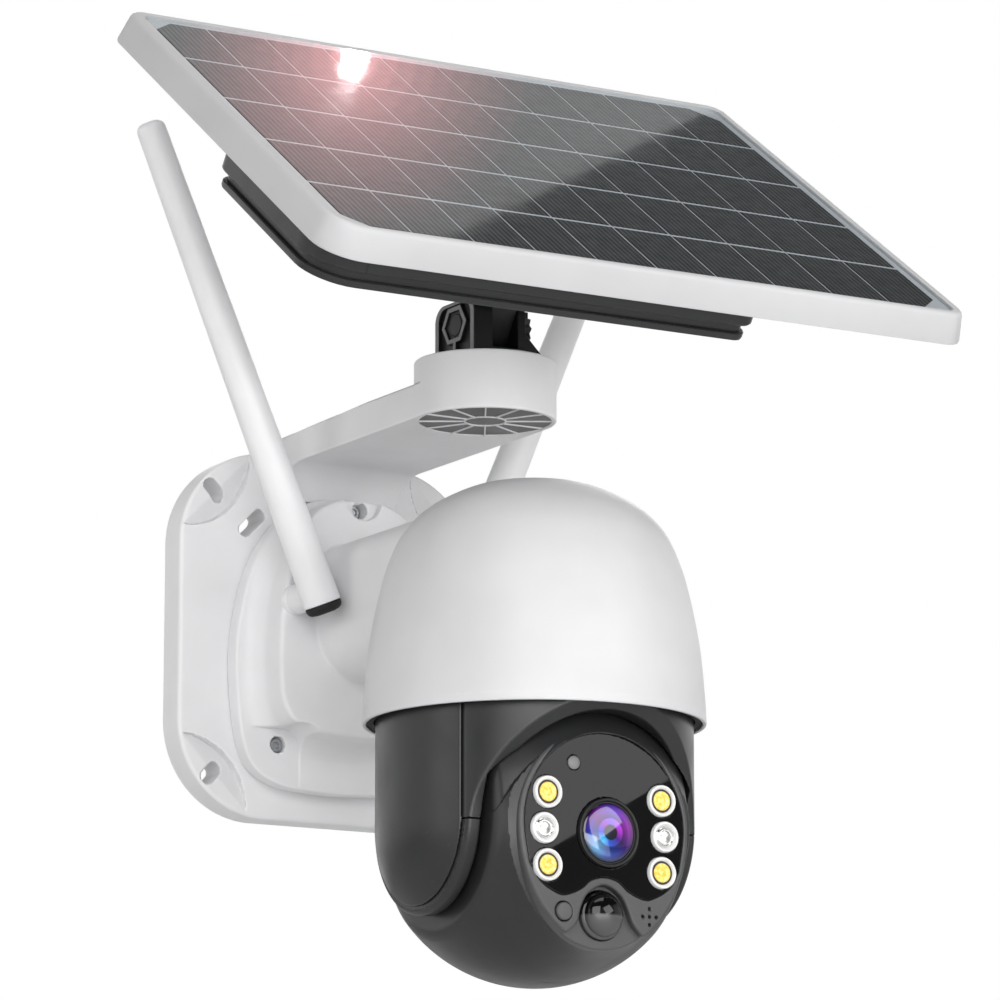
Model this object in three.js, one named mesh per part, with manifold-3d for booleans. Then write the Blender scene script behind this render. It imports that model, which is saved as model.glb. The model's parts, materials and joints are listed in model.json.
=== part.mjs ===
// Solar-powered pan-tilt security camera: wall plate, hollow neck, domed cover, turning yoke, tilting
// ball head, two swinging antennas and a solar panel on an adjustable bracket.
// Millimetres, +Z up. The origin is the centre of the wall plate's back face, +Y runs into the wall,
// so the camera looks along -Y. Left and right are as seen by someone facing the camera.

import * as THREE from 'three';
import { mergeVertices } from 'three/addons/utils/BufferGeometryUtils.js';
import Module from 'manifold-3d';

const wasm = await Module();
wasm.setup();

// ---------------------------------------------------------------------------- driving dimensions

const GAP = 0.3;                   // clearance between neighbouring pieces
const WALL = 2.5;                  // general wall of the moulded shells

const PLATE = { width: 126, height: 138, depth: 13.7, corner: 36, skin: 3 };
const PLATE_HOLE = { x: 49, z: 53, width: 5.6, length: 10 };
const PLATE_SLOT = { x: 33.3, z: 42, width: 5, length: 13 };
const CORNER_DISH = { x: 61, z: 65.3, radius: 26.2, lean: 26 };
const PLATE_POST = { screw: 6.5, hole: 14, slot: 9.5, centre: 16, ribHalf: 1.2 };

const HOUSING = { stepY: -21.5, faceY: -40 };
const HOUSING_SCREW = { x: 25.6, z: -42, topZ: 46.2, headRadius: 2.8, shankRadius: 1.6 };
const TOP_POCKET = { z: 49.5, radius: 7.6, floorY: -36.5 };
const NECK = { radius: 19.3, top: 31, corner: 10 };

const DOME = { y: -162.7, rimRadius: 60, rimZ: -51.8, topZ: 34 };
const BALL = { z: -88, radius: 55, halfWidth: 38.5 };
const YOKE = { radius: 55.5, topZ: -29, shoulderRadius: 38, shoulderZ: -47, earInner: 40.5 };
const YOKE_CLEARANCE = 56;         // swept radius of the ball and its bezel about the tilt axis
const ARCH = { radius: 40.5, z: -93.5 };
const EAR_SEAM_Z = -90.7;
const SIDE_COVER = { radius: 30.2, inner: 46 };
const TRUNNION = { radius: 6, bore: 3 };

const FACE = { y: -209, seatY: -203, halfWidth: 33.6, centreZ: -92, lowerHeight: 42 };
const GLASS = { inset: 1.8, depth: 2.6 };
const LENS = { x: 1.2, z: -94.4, ringRadius: 11.9, glassRadius: 10.2, frontY: -210.4, rearY: -190.5 };
const WHITE_LED = { x: 22.65, upperZ: -82, lowerZ: -106.7, radius: 5.5 };
const IR_LED = { x: 23.9, z: -94.3, radius: 5.3 };
const LIGHT_SENSOR = { x: -12.2, z: -71.3, radius: 2.35 };
const PIR = { z: -122.3, radius: 8.4 };
const BUTTON = { x: -16.3, z: -122, radius: 3.1, travel: 0.8 };
const MICROPHONE = { x: 17.8, z: -122, pitch: 2.7, radius: 0.6 };

const PAN_GEAR = { teeth: 36, module: 1.25, bottomZ: -28.7, thickness: 4 };
const PINION_TEETH = 12;
const CHASSIS = { radius: 53, bottomZ: -23, thickness: 2.5, bore: 8.5 };
const MOTOR = { radius: 14, length: 19, shaftRadius: 2.5 };

const ARM = { halfWidth: 25.6, bottomZ: 62.7, topZ: 75.2, filletRadius: 23, footBottomZ: 51.6 };
const BOSS = { y: -128.8, topZ: 84.2, recessRadius: 24.3, recessDepth: 8, ribs: 12, hubRadius: 7.5 };

const BRACKET = {
  left: -13, right: 8.4, front: -143.2, back: -115.1, topZ: 105.5, cornerRadius: 6, slotHalf: 5.3,
};
const TILT_AXIS_Z = 97;            // height of the panel's tilt bolt
const BOLT = { radius: 4, nutFlats: 12.4, discRadius: 9.2, discTeeth: 16, discEnd: 14 };

const PANEL = { y: -170.1, z: 150, tilt: 35.75, width: 249, length: 197, depth: 11.5 };
const PANEL_CORNERS = [13, 7, 7, 7];            // low left, low right, high right, high left
const PANEL_FLARE = { across: 4.2, up: 2 };     // how far the frame's foot spreads past its top
const PANEL_OPENING = { width: 242.8, length: 190.8, corners: [10, 4.5, 4.5, 4.5] };
const BACK_BOX = { left: -123, right: 52.3, rear: 5, front: -85.5, bodyBottom: -21, bottom: -27 };

const ANTENNA = { x: 26.9, y: -58, z: 4.5, lean: 23.2, length: 187.5, baseRadius: 7, tipRadius: 5.45 };
const ANTENNA_PIVOT_ALONG = 5.1;    // distance of the pivot from the rod's lower end

const INLET = { y: -80, bottomZ: -26, length: 12, radius: 5.2, bore: 3.5 };
const BATTERY = { x: 10.5, y: -26.4, bottomZ: -32, length: 65, radius: 9 };

const FINE = 32;                   // segments round a large circle
const MEDIUM = 16;                 // segments round a hand-sized circle
const SMALL = 10;                  // segments round a screw or a pin
const HOLE = 12;                   // segments round the openings of the face

// ------------------------------------------------------------------------------ shared helpers

const rad = THREE.MathUtils.degToRad;

// A closed three.js geometry as a manifold solid, turned right side out.
function solid(geometry) {
  const bare = geometry.clone();
  bare.deleteAttribute('normal');
  bare.deleteAttribute('uv');
  const merged = mergeVertices(bare, 1e-4);
  const corners = [];
  for (let i = 0; i < merged.index.count; i += 3) {
    const [a, b, c] = [0, 1, 2].map((k) => merged.index.getX(i + k));
    if (a !== b && b !== c && c !== a) corners.push(a, b, c);
  }
  const at = (i) => new THREE.Vector3().fromBufferAttribute(merged.attributes.position, i);
  let volume = 0;
  for (let i = 0; i < corners.length; i += 3) {
    volume += at(corners[i]).dot(at(corners[i + 1]).cross(at(corners[i + 2])));
  }
  if (volume < 0) corners.reverse();
  return new wasm.Manifold(new wasm.Mesh({
    numProp: 3,
    vertProperties: new Float32Array(merged.attributes.position.array),
    triVerts: new Uint32Array(corners),
  }));
}

// A manifold solid as a three.js geometry.
function geometryOf(body) {
  const mesh = body.getMesh();
  const geometry = new THREE.BufferGeometry();
  geometry.setAttribute('position', new THREE.BufferAttribute(new Float32Array(mesh.vertProperties), 3));
  geometry.setIndex(new THREE.BufferAttribute(new Uint32Array(mesh.triVerts), 1));
  geometry.computeVertexNormals();
  return geometry;
}

function union(first, ...others) {
  return others.reduce((sum, next) => sum.add(next), first);
}

function cut(first, ...others) {
  return others.reduce((rest, next) => rest.subtract(next), first);
}

function block(low, high) {
  const size = high.map((value, i) => value - low[i]);
  const geometry = new THREE.BoxGeometry(...size);
  geometry.translate(...low.map((value, i) => value + size[i] / 2));
  return solid(geometry);
}

// A shape drawn in X and Y, extruded along +Z from z0 to z1.
function prismZ(shape, z0, z1, curveSegments = MEDIUM / 4) {
  const geometry = new THREE.ExtrudeGeometry(shape, { depth: z1 - z0, bevelEnabled: false, curveSegments });
  geometry.translate(0, 0, z0);
  return solid(geometry);
}

// A shape drawn in X and Z, extruded along Y from y0 to y1.
function prismY(shape, y0, y1, curveSegments = MEDIUM / 4) {
  const geometry = new THREE.ExtrudeGeometry(shape, { depth: y1 - y0, bevelEnabled: false, curveSegments });
  geometry.rotateX(Math.PI / 2);
  geometry.translate(0, y1, 0);
  return solid(geometry);
}

// A shape drawn in Y and Z, extruded along X from x0 to x1.
function prismX(shape, x0, x1, curveSegments = MEDIUM / 4) {
  const geometry = new THREE.ExtrudeGeometry(shape, { depth: x1 - x0, bevelEnabled: false, curveSegments });
  geometry.rotateY(Math.PI / 2);
  geometry.rotateX(Math.PI / 2);
  geometry.translate(x0, 0, 0);
  return solid(geometry);
}

// A profile of [radius, height] pairs turned about the Z axis.
function turned(profile, segments = MEDIUM) {
  const points = profile.map(([r, z]) => new THREE.Vector2(r, z));
  const geometry = new THREE.LatheGeometry(points, segments);
  geometry.rotateX(Math.PI / 2);
  return solid(geometry);
}

// A cylinder between two heights along 'x', 'y' or 'z', through a point given by its other coordinates.
function rod(axis, centre, radius, from, to, segments = MEDIUM) {
  const geometry = new THREE.CylinderGeometry(radius, radius, to - from, segments);
  const middle = (from + to) / 2;
  if (axis === 'x') {
    geometry.rotateZ(-Math.PI / 2);
    geometry.translate(middle, ...centre);
  } else if (axis === 'y') {
    geometry.translate(centre[0], middle, centre[1]);
  } else {
    geometry.rotateX(Math.PI / 2);
    geometry.translate(...centre, middle);
  }
  return solid(geometry);
}

function roundedRect(width, height, corner, x = 0, y = 0) {
  const [w, h] = [width / 2, height / 2];
  const shape = new THREE.Shape();
  shape.moveTo(x - w + corner, y - h);
  shape.lineTo(x + w - corner, y - h);
  shape.absarc(x + w - corner, y - h + corner, corner, -Math.PI / 2, 0);
  shape.lineTo(x + w, y + h - corner);
  shape.absarc(x + w - corner, y + h - corner, corner, 0, Math.PI / 2);
  shape.lineTo(x - w + corner, y + h);
  shape.absarc(x - w + corner, y + h - corner, corner, Math.PI / 2, Math.PI);
  shape.lineTo(x - w, y - h + corner);
  shape.absarc(x - w + corner, y - h + corner, corner, Math.PI, 1.5 * Math.PI);
  return shape;
}

function polygon(points) {
  return new THREE.Shape(points.map(([x, y]) => new THREE.Vector2(x, y)));
}

// A hexagon with a corner on each side along its first coordinate.
function hexagon(x, y, acrossFlats) {
  const reach = acrossFlats / 2 / Math.cos(Math.PI / 6);
  const angles = Array.from({ length: 6 }, (_, i) => (i * Math.PI) / 3);
  return polygon(angles.map((a) => [x + reach * Math.cos(a), y + reach * Math.sin(a)]));
}

// A slot with round ends, turned by an angle about its own centre.
function slot(x, y, width, length, degrees) {
  const reach = (length - width) / 2;
  const angle = rad(degrees);
  const [dx, dy] = [Math.cos(angle), Math.sin(angle)];
  const shape = new THREE.Shape();
  shape.absarc(x + dx * reach, y + dy * reach, width / 2, angle - Math.PI / 2, angle + Math.PI / 2);
  shape.absarc(x - dx * reach, y - dy * reach, width / 2, angle + Math.PI / 2, angle + 1.5 * Math.PI);
  return shape;
}

// A closed skin through loops of equal length, each an array of THREE.Vector3, capped at both ends.
function loft(loops) {
  const count = loops[0].length;
  const position = loops.flat().flatMap((p) => p.toArray());
  const index = [];
  for (let row = 0; row < loops.length - 1; row += 1) {
    for (let i = 0; i < count; i += 1) {
      const a = row * count + i;
      const b = row * count + (i + 1) % count;
      index.push(a, b, a + count, b, b + count, a + count);
    }
  }
  const addCap = (loop, offset, flip) => {
    const centre = loop.reduce((sum, p) => sum.add(p), new THREE.Vector3()).divideScalar(count);
    const hub = position.length / 3;
    position.push(...centre.toArray());
    for (let i = 0; i < count; i += 1) {
      const [a, b] = [offset + i, offset + (i + 1) % count];
      index.push(...(flip ? [hub, b, a] : [hub, a, b]));
    }
  };
  addCap(loops[0], 0, true);
  addCap(loops[loops.length - 1], (loops.length - 1) * count, false);
  const geometry = new THREE.BufferGeometry();
  geometry.setAttribute('position', new THREE.BufferAttribute(new Float32Array(position), 3));
  geometry.setIndex(index);
  return solid(geometry);
}

// The distance from the Y axis to a closed outline, at a number of equal angles round it.
function polarRadii(outline, count) {
  const samples = outline.map((p) => ({ angle: Math.atan2(p.y, p.x), radius: p.length() }));
  samples.sort((a, b) => a.angle - b.angle);
  const wrapped = [
    { ...samples.at(-1), angle: samples.at(-1).angle - 2 * Math.PI },
    ...samples,
    { ...samples[0], angle: samples[0].angle + 2 * Math.PI },
  ];
  return Array.from({ length: count }, (_, i) => {
    const angle = -Math.PI + (2 * Math.PI * i) / count;
    const next = wrapped.findIndex((s) => s.angle > angle);
    const [a, b] = [wrapped[next - 1], wrapped[next]];
    const share = (angle - a.angle) / (b.angle - a.angle);
    return a.radius + (b.radius - a.radius) * share;
  });
}

function ringAt(radii, y) {
  return radii.map((radius, i) => {
    const angle = -Math.PI + (2 * Math.PI * i) / radii.length;
    return new THREE.Vector3(radius * Math.cos(angle), y, radius * Math.sin(angle));
  });
}

function blendRadii(from, to, share) {
  return from.map((radius, i) => radius + (to[i] - radius) * share);
}

const inset = (radii, by) => radii.map((radius) => radius - by);

// -------------------------------------------------------------------------------- materials

const FINISH = {
  lightPlastic: { color: 0xd9dadb, roughness: 0.5, metalness: 0 },
  whitePlastic: { color: 0xe4e5e6, roughness: 0.42, metalness: 0 },
  darkPlastic: { color: 0x3f4143, roughness: 0.42, metalness: 0 },
  bezelPlastic: { color: 0x4c4d4f, roughness: 0.5, metalness: 0 },
  blackPlastic: { color: 0x151515, roughness: 0.5, metalness: 0 },
  blackGloss: { color: 0x0b0b0c, roughness: 0.08, metalness: 0 },
  blackRubber: { color: 0x101010, roughness: 0.8, metalness: 0 },
  nylon: { color: 0xe9e6da, roughness: 0.55, metalness: 0 },
  steel: { color: 0xb8babc, roughness: 0.32, metalness: 1 },
  motorSteel: { color: 0x9fa2a5, roughness: 0.4, metalness: 1 },
  board: { color: 0x1d5a33, roughness: 0.5, metalness: 0 },
  cells: { color: 0x101318, roughness: 0.3, metalness: 0 },
  batteryWrap: { color: 0x2b6fa8, roughness: 0.4, metalness: 0 },
  clearGlass: { color: 0xf2f6f8, roughness: 0.05, metalness: 0 },
  lensGlass: { color: 0x33266e, roughness: 0.04, metalness: 0 },
  ledSilver: { color: 0xd8d6c8, roughness: 0.25, metalness: 0.6 },
  pirLens: { color: 0x2a2a2c, roughness: 0.25, metalness: 0 },
};

function add(group, name, body, finish) {
  const mesh = new THREE.Mesh(geometryOf(body), new THREE.MeshStandardMaterial(FINISH[finish]));
  mesh.name = name;
  group.add(mesh);
}

const camera = new THREE.Group();

// -------------------------------------------------------------------------------- wall plate

function plateOutline(shrink = 0) {
  return roundedRect(PLATE.width - 2 * shrink, PLATE.height - 2 * shrink, PLATE.corner - shrink);
}

// The dished corner: a round cutter leaning so that it bites deepest on the arc facing the centre.
function cornerDish(sideX, sideZ) {
  const depth = 6;
  const geometry = new THREE.CylinderGeometry(CORNER_DISH.radius, CORNER_DISH.radius, depth, FINE);
  geometry.translate(0, -depth / 2, 0);
  const inward = new THREE.Vector3(-sideX, 0, -sideZ).normalize();
  const chord = new THREE.Vector3().crossVectors(inward, new THREE.Vector3(0, 1, 0));
  const hinge = inward.clone().multiplyScalar(CORNER_DISH.radius * 0.7);
  geometry.translate(-hinge.x, 0, -hinge.z);
  geometry.applyMatrix4(new THREE.Matrix4().makeRotationAxis(chord, -rad(CORNER_DISH.lean)));
  geometry.translate(hinge.x, 0, hinge.z);
  geometry.translate(sideX * CORNER_DISH.x, -PLATE.depth, sideZ * CORNER_DISH.z);
  return solid(geometry);
}

const HOUSING_SCREWS = [
  { name: 'housing_screw_top', x: 0, z: HOUSING_SCREW.topZ, seatY: -30 },
  { name: 'housing_screw_left', x: -HOUSING_SCREW.x, z: HOUSING_SCREW.z, seatY: -18 },
  { name: 'housing_screw_right', x: HOUSING_SCREW.x, z: HOUSING_SCREW.z, seatY: -18 },
];
const ARM_SCREWS = [
  { name: 'arm_screw_left', x: -16, z: 58 },
  { name: 'arm_screw_right', x: 16, z: 58 },
];

function buildWallPlate() {
  const front = -PLATE.depth;
  const post = (x, z, radius, segments = SMALL) => rod('y', [x, z], radius, front, 2, segments);
  const hollow = prismY(plateOutline(PLATE.skin), front + PLATE.skin, 1);
  const keep = [post(0, 0, PLATE_POST.centre, MEDIUM)];
  for (const screw of [...HOUSING_SCREWS, ...ARM_SCREWS]) keep.push(post(screw.x, screw.z, PLATE_POST.screw));
  for (const sideX of [-1, 1]) {
    for (const sideZ of [-1, 1]) {
      keep.push(post(sideX * PLATE_HOLE.x, sideZ * PLATE_HOLE.z, PLATE_POST.hole));
    }
    keep.push(post(sideX * PLATE_SLOT.x, PLATE_SLOT.z, PLATE_POST.slot));
  }
  const { ribHalf } = PLATE_POST;
  keep.push(block([-PLATE.width, front, -ribHalf], [PLATE.width, 2, ribHalf]));
  keep.push(block([-ribHalf, front, -PLATE.height], [ribHalf, 2, PLATE.height]));
  let plate = prismY(plateOutline(), front, 0, 10).subtract(cut(hollow, ...keep));
  for (const sideX of [-1, 1]) {
    for (const sideZ of [-1, 1]) {
      const hole = slot(
        sideX * PLATE_HOLE.x, sideZ * PLATE_HOLE.z, PLATE_HOLE.width, PLATE_HOLE.length, 45 * sideX * sideZ,
      );
      plate = cut(plate, cornerDish(sideX, sideZ), prismY(hole, front - 1, 1, 4));
    }
    const long = slot(sideX * PLATE_SLOT.x, PLATE_SLOT.z, PLATE_SLOT.width, PLATE_SLOT.length, -45 * sideX);
    plate = cut(plate, prismY(long, front - 1, 1, 4));
  }
  const shankHole = HOUSING_SCREW.shankRadius + GAP;
  const headHole = HOUSING_SCREW.headRadius + GAP;
  const tappedDepth = 9;
  const counterbore = 5;
  for (const { x, z } of HOUSING_SCREWS) {
    plate = cut(plate, rod('y', [x, z], shankHole, front - 1, front + tappedDepth, SMALL));
  }
  for (const { x, z } of ARM_SCREWS) {
    plate = cut(
      plate,
      rod('y', [x, z], shankHole, front - 1, 1, SMALL),
      rod('y', [x, z], headHole, -counterbore, 1, SMALL),
    );
  }
  add(camera, 'wall_plate', plate, 'lightPlastic');
}

// ------------------------------------------------------------------------ rear housing and neck

// Half outline of the wide step, from the bottom centre up its right side to the top centre.
const STEP_SIDE = [
  [0, -58.7], [14, -58.2], [24.5, -56.8], [33.6, -52.4], [38.4, -46], [41.4, -35], [43.2, -18], [43, -3],
  [41, 10], [37.2, 23], [31, 34], [22, 43.5], [11, 49.2], [0, 50.9],
];

// The same for the raised face, whose top is a soft arch.
const FACE_SIDE = [
  [0, -39.8], [12, -39.5], [22, -38.2], [28.6, -35.4], [32.6, -30], [34.3, -22], [34.6, -8], [33.8, 6],
  [31.2, 20], [26.6, 33], [19.5, 43.5], [10, 48.6], [0, 49.6],
];

function mirroredOutline(side) {
  const left = side.slice(1, -1).reverse().map(([x, z]) => [-x, z]);
  const closed = [...side, ...left].map(([x, z]) => new THREE.Vector3(x, z, 0));
  const path = new THREE.CatmullRomCurve3(closed, true);
  return path.getPoints(240).slice(0, -1).map((p) => new THREE.Vector2(p.x, p.y));
}

function neckOutline(grow = 0) {
  const side = NECK.radius + grow;
  const top = NECK.top + grow;
  const corner = NECK.corner + grow;
  const shape = new THREE.Shape();
  shape.absarc(0, 0, side, Math.PI, 2 * Math.PI);
  shape.lineTo(side, top - corner);
  shape.absarc(side - corner, top - corner, corner, 0, Math.PI / 2);
  shape.lineTo(-side + corner, top);
  shape.absarc(-side + corner, top - corner, corner, Math.PI / 2, Math.PI);
  shape.lineTo(-side, 0);
  return shape;
}

const AROUND = 36;
const stepRadii = polarRadii(mirroredOutline(STEP_SIDE), AROUND);
const faceRadii = polarRadii(mirroredOutline(FACE_SIDE), AROUND);
const neckRadii = polarRadii(neckOutline().getSpacedPoints(300), AROUND);
const HOUSING_BASE_Y = -PLATE.depth - 1.6;

// The stepped outer skin: draft, hollow cove, flat face and the neck that runs to the dome.
function housingSkin(by, extra) {
  const draft = 0.6;
  const loops = [ringAt(inset(stepRadii, by - draft), HOUSING_BASE_Y + extra)];
  loops.push(ringAt(inset(stepRadii, by), HOUSING.stepY + extra));
  const coveSteps = 3;
  for (let i = 1; i <= coveSteps; i += 1) {
    const turn = (i / coveSteps) * (Math.PI / 2);
    const y = HOUSING.stepY - 1.5 + (HOUSING.faceY - HOUSING.stepY + 2.5) * (1 - Math.cos(turn));
    const across = blendRadii(stepRadii, faceRadii, 0.12 + 0.88 * Math.sin(turn));
    loops.push(ringAt(inset(across, by), y + extra));
  }
  loops.push(ringAt(inset(faceRadii, by + 0.8), HOUSING.faceY + extra));
  const filletSteps = 2;
  const fillet = 2;
  for (let i = 0; i <= filletSteps; i += 1) {
    const turn = (i / filletSteps) * (Math.PI / 2);
    const grow = fillet * (1 - Math.sin(turn));
    const y = HOUSING.faceY - fillet * (1 - Math.cos(turn)) - 0.1;
    const around = neckRadii.map((radius, k) => Math.min(radius + grow, faceRadii[k] - 1.5));
    loops.push(ringAt(inset(around, by), y + extra));
  }
  loops.push(ringAt(inset(neckRadii, by), DOME.y + 10));
  return loft(loops.reverse());
}

const DOME_PROFILE = [
  [60, -51.8], [59.5, -42.5], [57.9, -25], [54.5, -7], [51.1, 5], [46, 15.6], [37, 24.6],
  [23, 31.6], [12, 33.5], [0, 34],
];

function domeBody(shrink) {
  const outer = DOME_PROFILE.map(([r, z]) => {
    const share = Math.min(1, Math.max(0, z / DOME.topZ));
    return [Math.max(0, r - shrink * Math.sqrt(1 - share * share)), z - shrink * share];
  });
  outer[0][1] -= shrink > 0 ? 1 : 0;
  outer[outer.length - 1][0] = 0;
  return turned([[0, outer[0][1]], ...outer], FINE).translate([0, DOME.y, 0]);
}

function cornerPocket(side, grow) {
  const [near, far] = [16.9 - grow, 70];
  const shape = roundedRect(far - near, far - 36 + grow, 7, side * (near + far) / 2, -(far + 36 - grow) / 2);
  return prismY(shape, -70, HOUSING.stepY + grow);
}

function topPocket(grow) {
  return rod('y', [0, TOP_POCKET.z], TOP_POCKET.radius + grow, -60, TOP_POCKET.floorY + grow, MEDIUM);
}

function buildRearHousing() {
  const inletHole = rod('z', [0, INLET.y], INLET.radius + GAP, -30, -10, SMALL);
  let hollow = housingSkin(WALL, WALL);
  hollow = union(hollow, block([-40, HOUSING_BASE_Y - 4, -30], [40, HOUSING_BASE_Y + 5, 20]));
  hollow = cut(hollow, cornerPocket(-1, WALL), cornerPocket(1, WALL), topPocket(WALL));
  for (const screw of HOUSING_SCREWS) {
    hollow = cut(hollow, rod('y', [screw.x, screw.z], 5, screw.seatY - 8, 0, SMALL));
  }
  let shell = housingSkin(0, 0);
  shell = cut(shell, hollow, cornerPocket(-1, 0), cornerPocket(1, 0), topPocket(0), domeBody(5.5), inletHole);
  for (const { x, z, seatY } of HOUSING_SCREWS) {
    shell = cut(
      shell,
      rod('y', [x, z], HOUSING_SCREW.shankRadius + GAP, -60, 0, SMALL),
      rod('y', [x, z], HOUSING_SCREW.headRadius + GAP, -60, seatY, SMALL),
    );
  }
  add(camera, 'rear_housing', shell, 'lightPlastic');

  const gasket = loft([
    ringAt(inset(stepRadii, 1), -PLATE.depth - GAP), ringAt(inset(stepRadii, 1), HOUSING_BASE_Y + GAP),
  ].reverse());
  const gasketHole = loft([ringAt(inset(stepRadii, 4), -10), ringAt(inset(stepRadii, 4), -20)].reverse());
  const corridor = HOUSING_SCREWS.map(({ x, z }) => rod('y', [x, z], 5.5, -20, -10, SMALL));
  add(camera, 'housing_gasket', cut(gasket, gasketHole, ...corridor), 'blackRubber');
}

function screwAlongY(x, z, headY, headDepth, length, direction) {
  const [head0, head1] = [headY, headY + direction * headDepth].sort((a, b) => a - b);
  const tipY = headY + direction * (headDepth + length);
  const [shank0, shank1] = [headY + direction, tipY].sort((a, b) => a - b);
  const recess = 1.1;
  const [cross0, cross1] = [headY - direction, headY + direction * recess].sort((a, b) => a - b);
  return cut(
    union(
      rod('y', [x, z], HOUSING_SCREW.headRadius, head0, head1, SMALL),
      rod('y', [x, z], HOUSING_SCREW.shankRadius, shank0, shank1, SMALL),
    ),
    block([x - 2.2, cross0, z - 0.45], [x + 2.2, cross1, z + 0.45]),
  );
}

function buildScrews() {
  const headDepth = 2.4;
  for (const screw of HOUSING_SCREWS) {
    const headY = screw.seatY - GAP - headDepth;
    const length = -PLATE.depth + 8 - (screw.seatY - GAP);
    add(camera, screw.name, screwAlongY(screw.x, screw.z, headY, headDepth, length, 1), 'steel');
  }
  for (const screw of ARM_SCREWS) {
    add(camera, screw.name, screwAlongY(screw.x, screw.z, -1, headDepth, 15.5, -1), 'steel');
  }
}

// ------------------------------------------------------------------------------- inside the housing

function buildPower() {
  for (const [name, side] of [['battery_left', -1], ['battery_right', 1]]) {
    const { x, y, bottomZ, length, radius } = BATTERY;
    const cell = union(
      rod('z', [side * x, y], radius, bottomZ, bottomZ + length - 1.5, MEDIUM),
      rod('z', [side * x, y], 3, bottomZ + length - 2, bottomZ + length, SMALL),
    );
    add(camera, name, cell, 'batteryWrap');
  }
  const inlet = cut(
    rod('z', [0, INLET.y], INLET.radius, INLET.bottomZ, INLET.bottomZ + INLET.length, SMALL),
    rod('z', [0, INLET.y], INLET.bore, INLET.bottomZ - 1, INLET.bottomZ + INLET.length - 2, SMALL),
  );
  add(camera, 'charge_inlet', inlet, 'blackRubber');
}

// ------------------------------------------------------------------------- dome and pan drive

const PINION_X = (PAN_GEAR.module * (PAN_GEAR.teeth + PINION_TEETH)) / 2;

function buildDome() {
  const opening = prismY(neckOutline(GAP), DOME.y + 5, 0, 8);
  add(camera, 'dome_cover', cut(domeBody(0), domeBody(WALL), opening), 'whitePlastic');

  const [inner, outer] = [56, 57];
  const [low, high] = [-51.4, -46];
  const seal = turned([[inner, low], [outer, low], [outer, high], [inner, high], [inner, low]], FINE);
  add(camera, 'rim_seal', seal.translate([0, DOME.y, 0]), 'blackRubber');
}

// An involute gear outline with the tooth at angle 'phase' centred on that angle.
function gearShape(teeth, phase) {
  const { module } = PAN_GEAR;
  const pressure = rad(20);
  const pitch = (module * teeth) / 2;
  const base = pitch * Math.cos(pressure);
  const tip = pitch + 0.8 * module;
  const root = pitch - module;
  const backlash = 0.22;
  const spread = (r) => {
    const angle = Math.acos(Math.min(1, base / r));
    return Math.tan(angle) - angle;
  };
  const half = (r) => (Math.PI * module - backlash) / (4 * pitch) + spread(pitch) - spread(r);
  const radii = [root, tip];
  const points = [];
  for (let tooth = 0; tooth < teeth; tooth += 1) {
    const centre = phase + (2 * Math.PI * tooth) / teeth;
    for (const r of radii) points.push([r * Math.cos(centre - half(r)), r * Math.sin(centre - half(r))]);
    for (const r of [...radii].reverse()) {
      points.push([r * Math.cos(centre + half(r)), r * Math.sin(centre + half(r))]);
    }
  }
  return polygon(points);
}

function buildPanDrive(yoke, pinionGroup) {
  const top = CHASSIS.bottomZ + CHASSIS.thickness;
  const chassis = cut(
    turned([[0, CHASSIS.bottomZ], [CHASSIS.radius, CHASSIS.bottomZ], [CHASSIS.radius, top], [0, top]], FINE),
    rod('z', [0, 0], CHASSIS.bore, -40, 0, MEDIUM),
    rod('z', [PINION_X, 0], 5, -40, 0, SMALL),
  );
  add(camera, 'pan_chassis', chassis.translate([0, DOME.y, 0]), 'blackPlastic');

  const gearTop = PAN_GEAR.bottomZ + PAN_GEAR.thickness;
  const hub = CHASSIS.bore - GAP;
  const gear = cut(
    union(
      prismZ(gearShape(PAN_GEAR.teeth, 0), PAN_GEAR.bottomZ, gearTop),
      rod('z', [0, 0], hub, PAN_GEAR.bottomZ + 1, top + 4, MEDIUM),
      rod('z', [0, 0], hub + 1.5, top + 0.5, top + 3, MEDIUM),
    ),
    rod('z', [0, 0], 5.5, -40, 0, SMALL),
  );
  add(yoke, 'pan_gear', gear.translate([0, DOME.y, 0]), 'nylon');

  const motorBottom = top + GAP;
  const ear = slot(PINION_X, 0, 7, 42, 90);
  const motor = union(
    rod('z', [PINION_X, 0], MOTOR.radius, motorBottom, motorBottom + MOTOR.length, MEDIUM),
    prismZ(ear, motorBottom, motorBottom + 1, 4),
    rod('z', [PINION_X, 0], MOTOR.shaftRadius, PAN_GEAR.bottomZ + 0.6, motorBottom + 2, SMALL),
  );
  add(camera, 'pan_motor', motor.translate([0, DOME.y, 0]), 'motorSteel');

  const pinion = cut(
    union(
      prismZ(gearShape(PINION_TEETH, Math.PI / PINION_TEETH), PAN_GEAR.bottomZ + 0.3, gearTop - 0.3),
      rod('z', [0, 0], 4.6, gearTop - 0.5, gearTop + 1.2, SMALL),
    ),
    rod('z', [0, 0], MOTOR.shaftRadius + GAP, -40, 0, SMALL),
  );
  add(pinionGroup, 'pan_pinion', pinion.translate([PINION_X, DOME.y, 0]), 'nylon');

  const boardZ = 6;
  const board = union(
    block([-30, -22, boardZ], [30, 22, boardZ + 1.6]),
    block([-8, -8, boardZ + 1], [8, 8, boardZ + 3.2]),
    block([14, -6, boardZ + 1], [22, 8, boardZ + 4]),
    block([-27, -12, boardZ + 1], [-16, 12, boardZ + 6]),
    block([-6, 14, boardZ + 1], [12, 20, boardZ + 5]),
  );
  add(camera, 'main_board', board.translate([0, DOME.y, 0]), 'board');
}

// ------------------------------------------------------------------------------------ yoke

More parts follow.
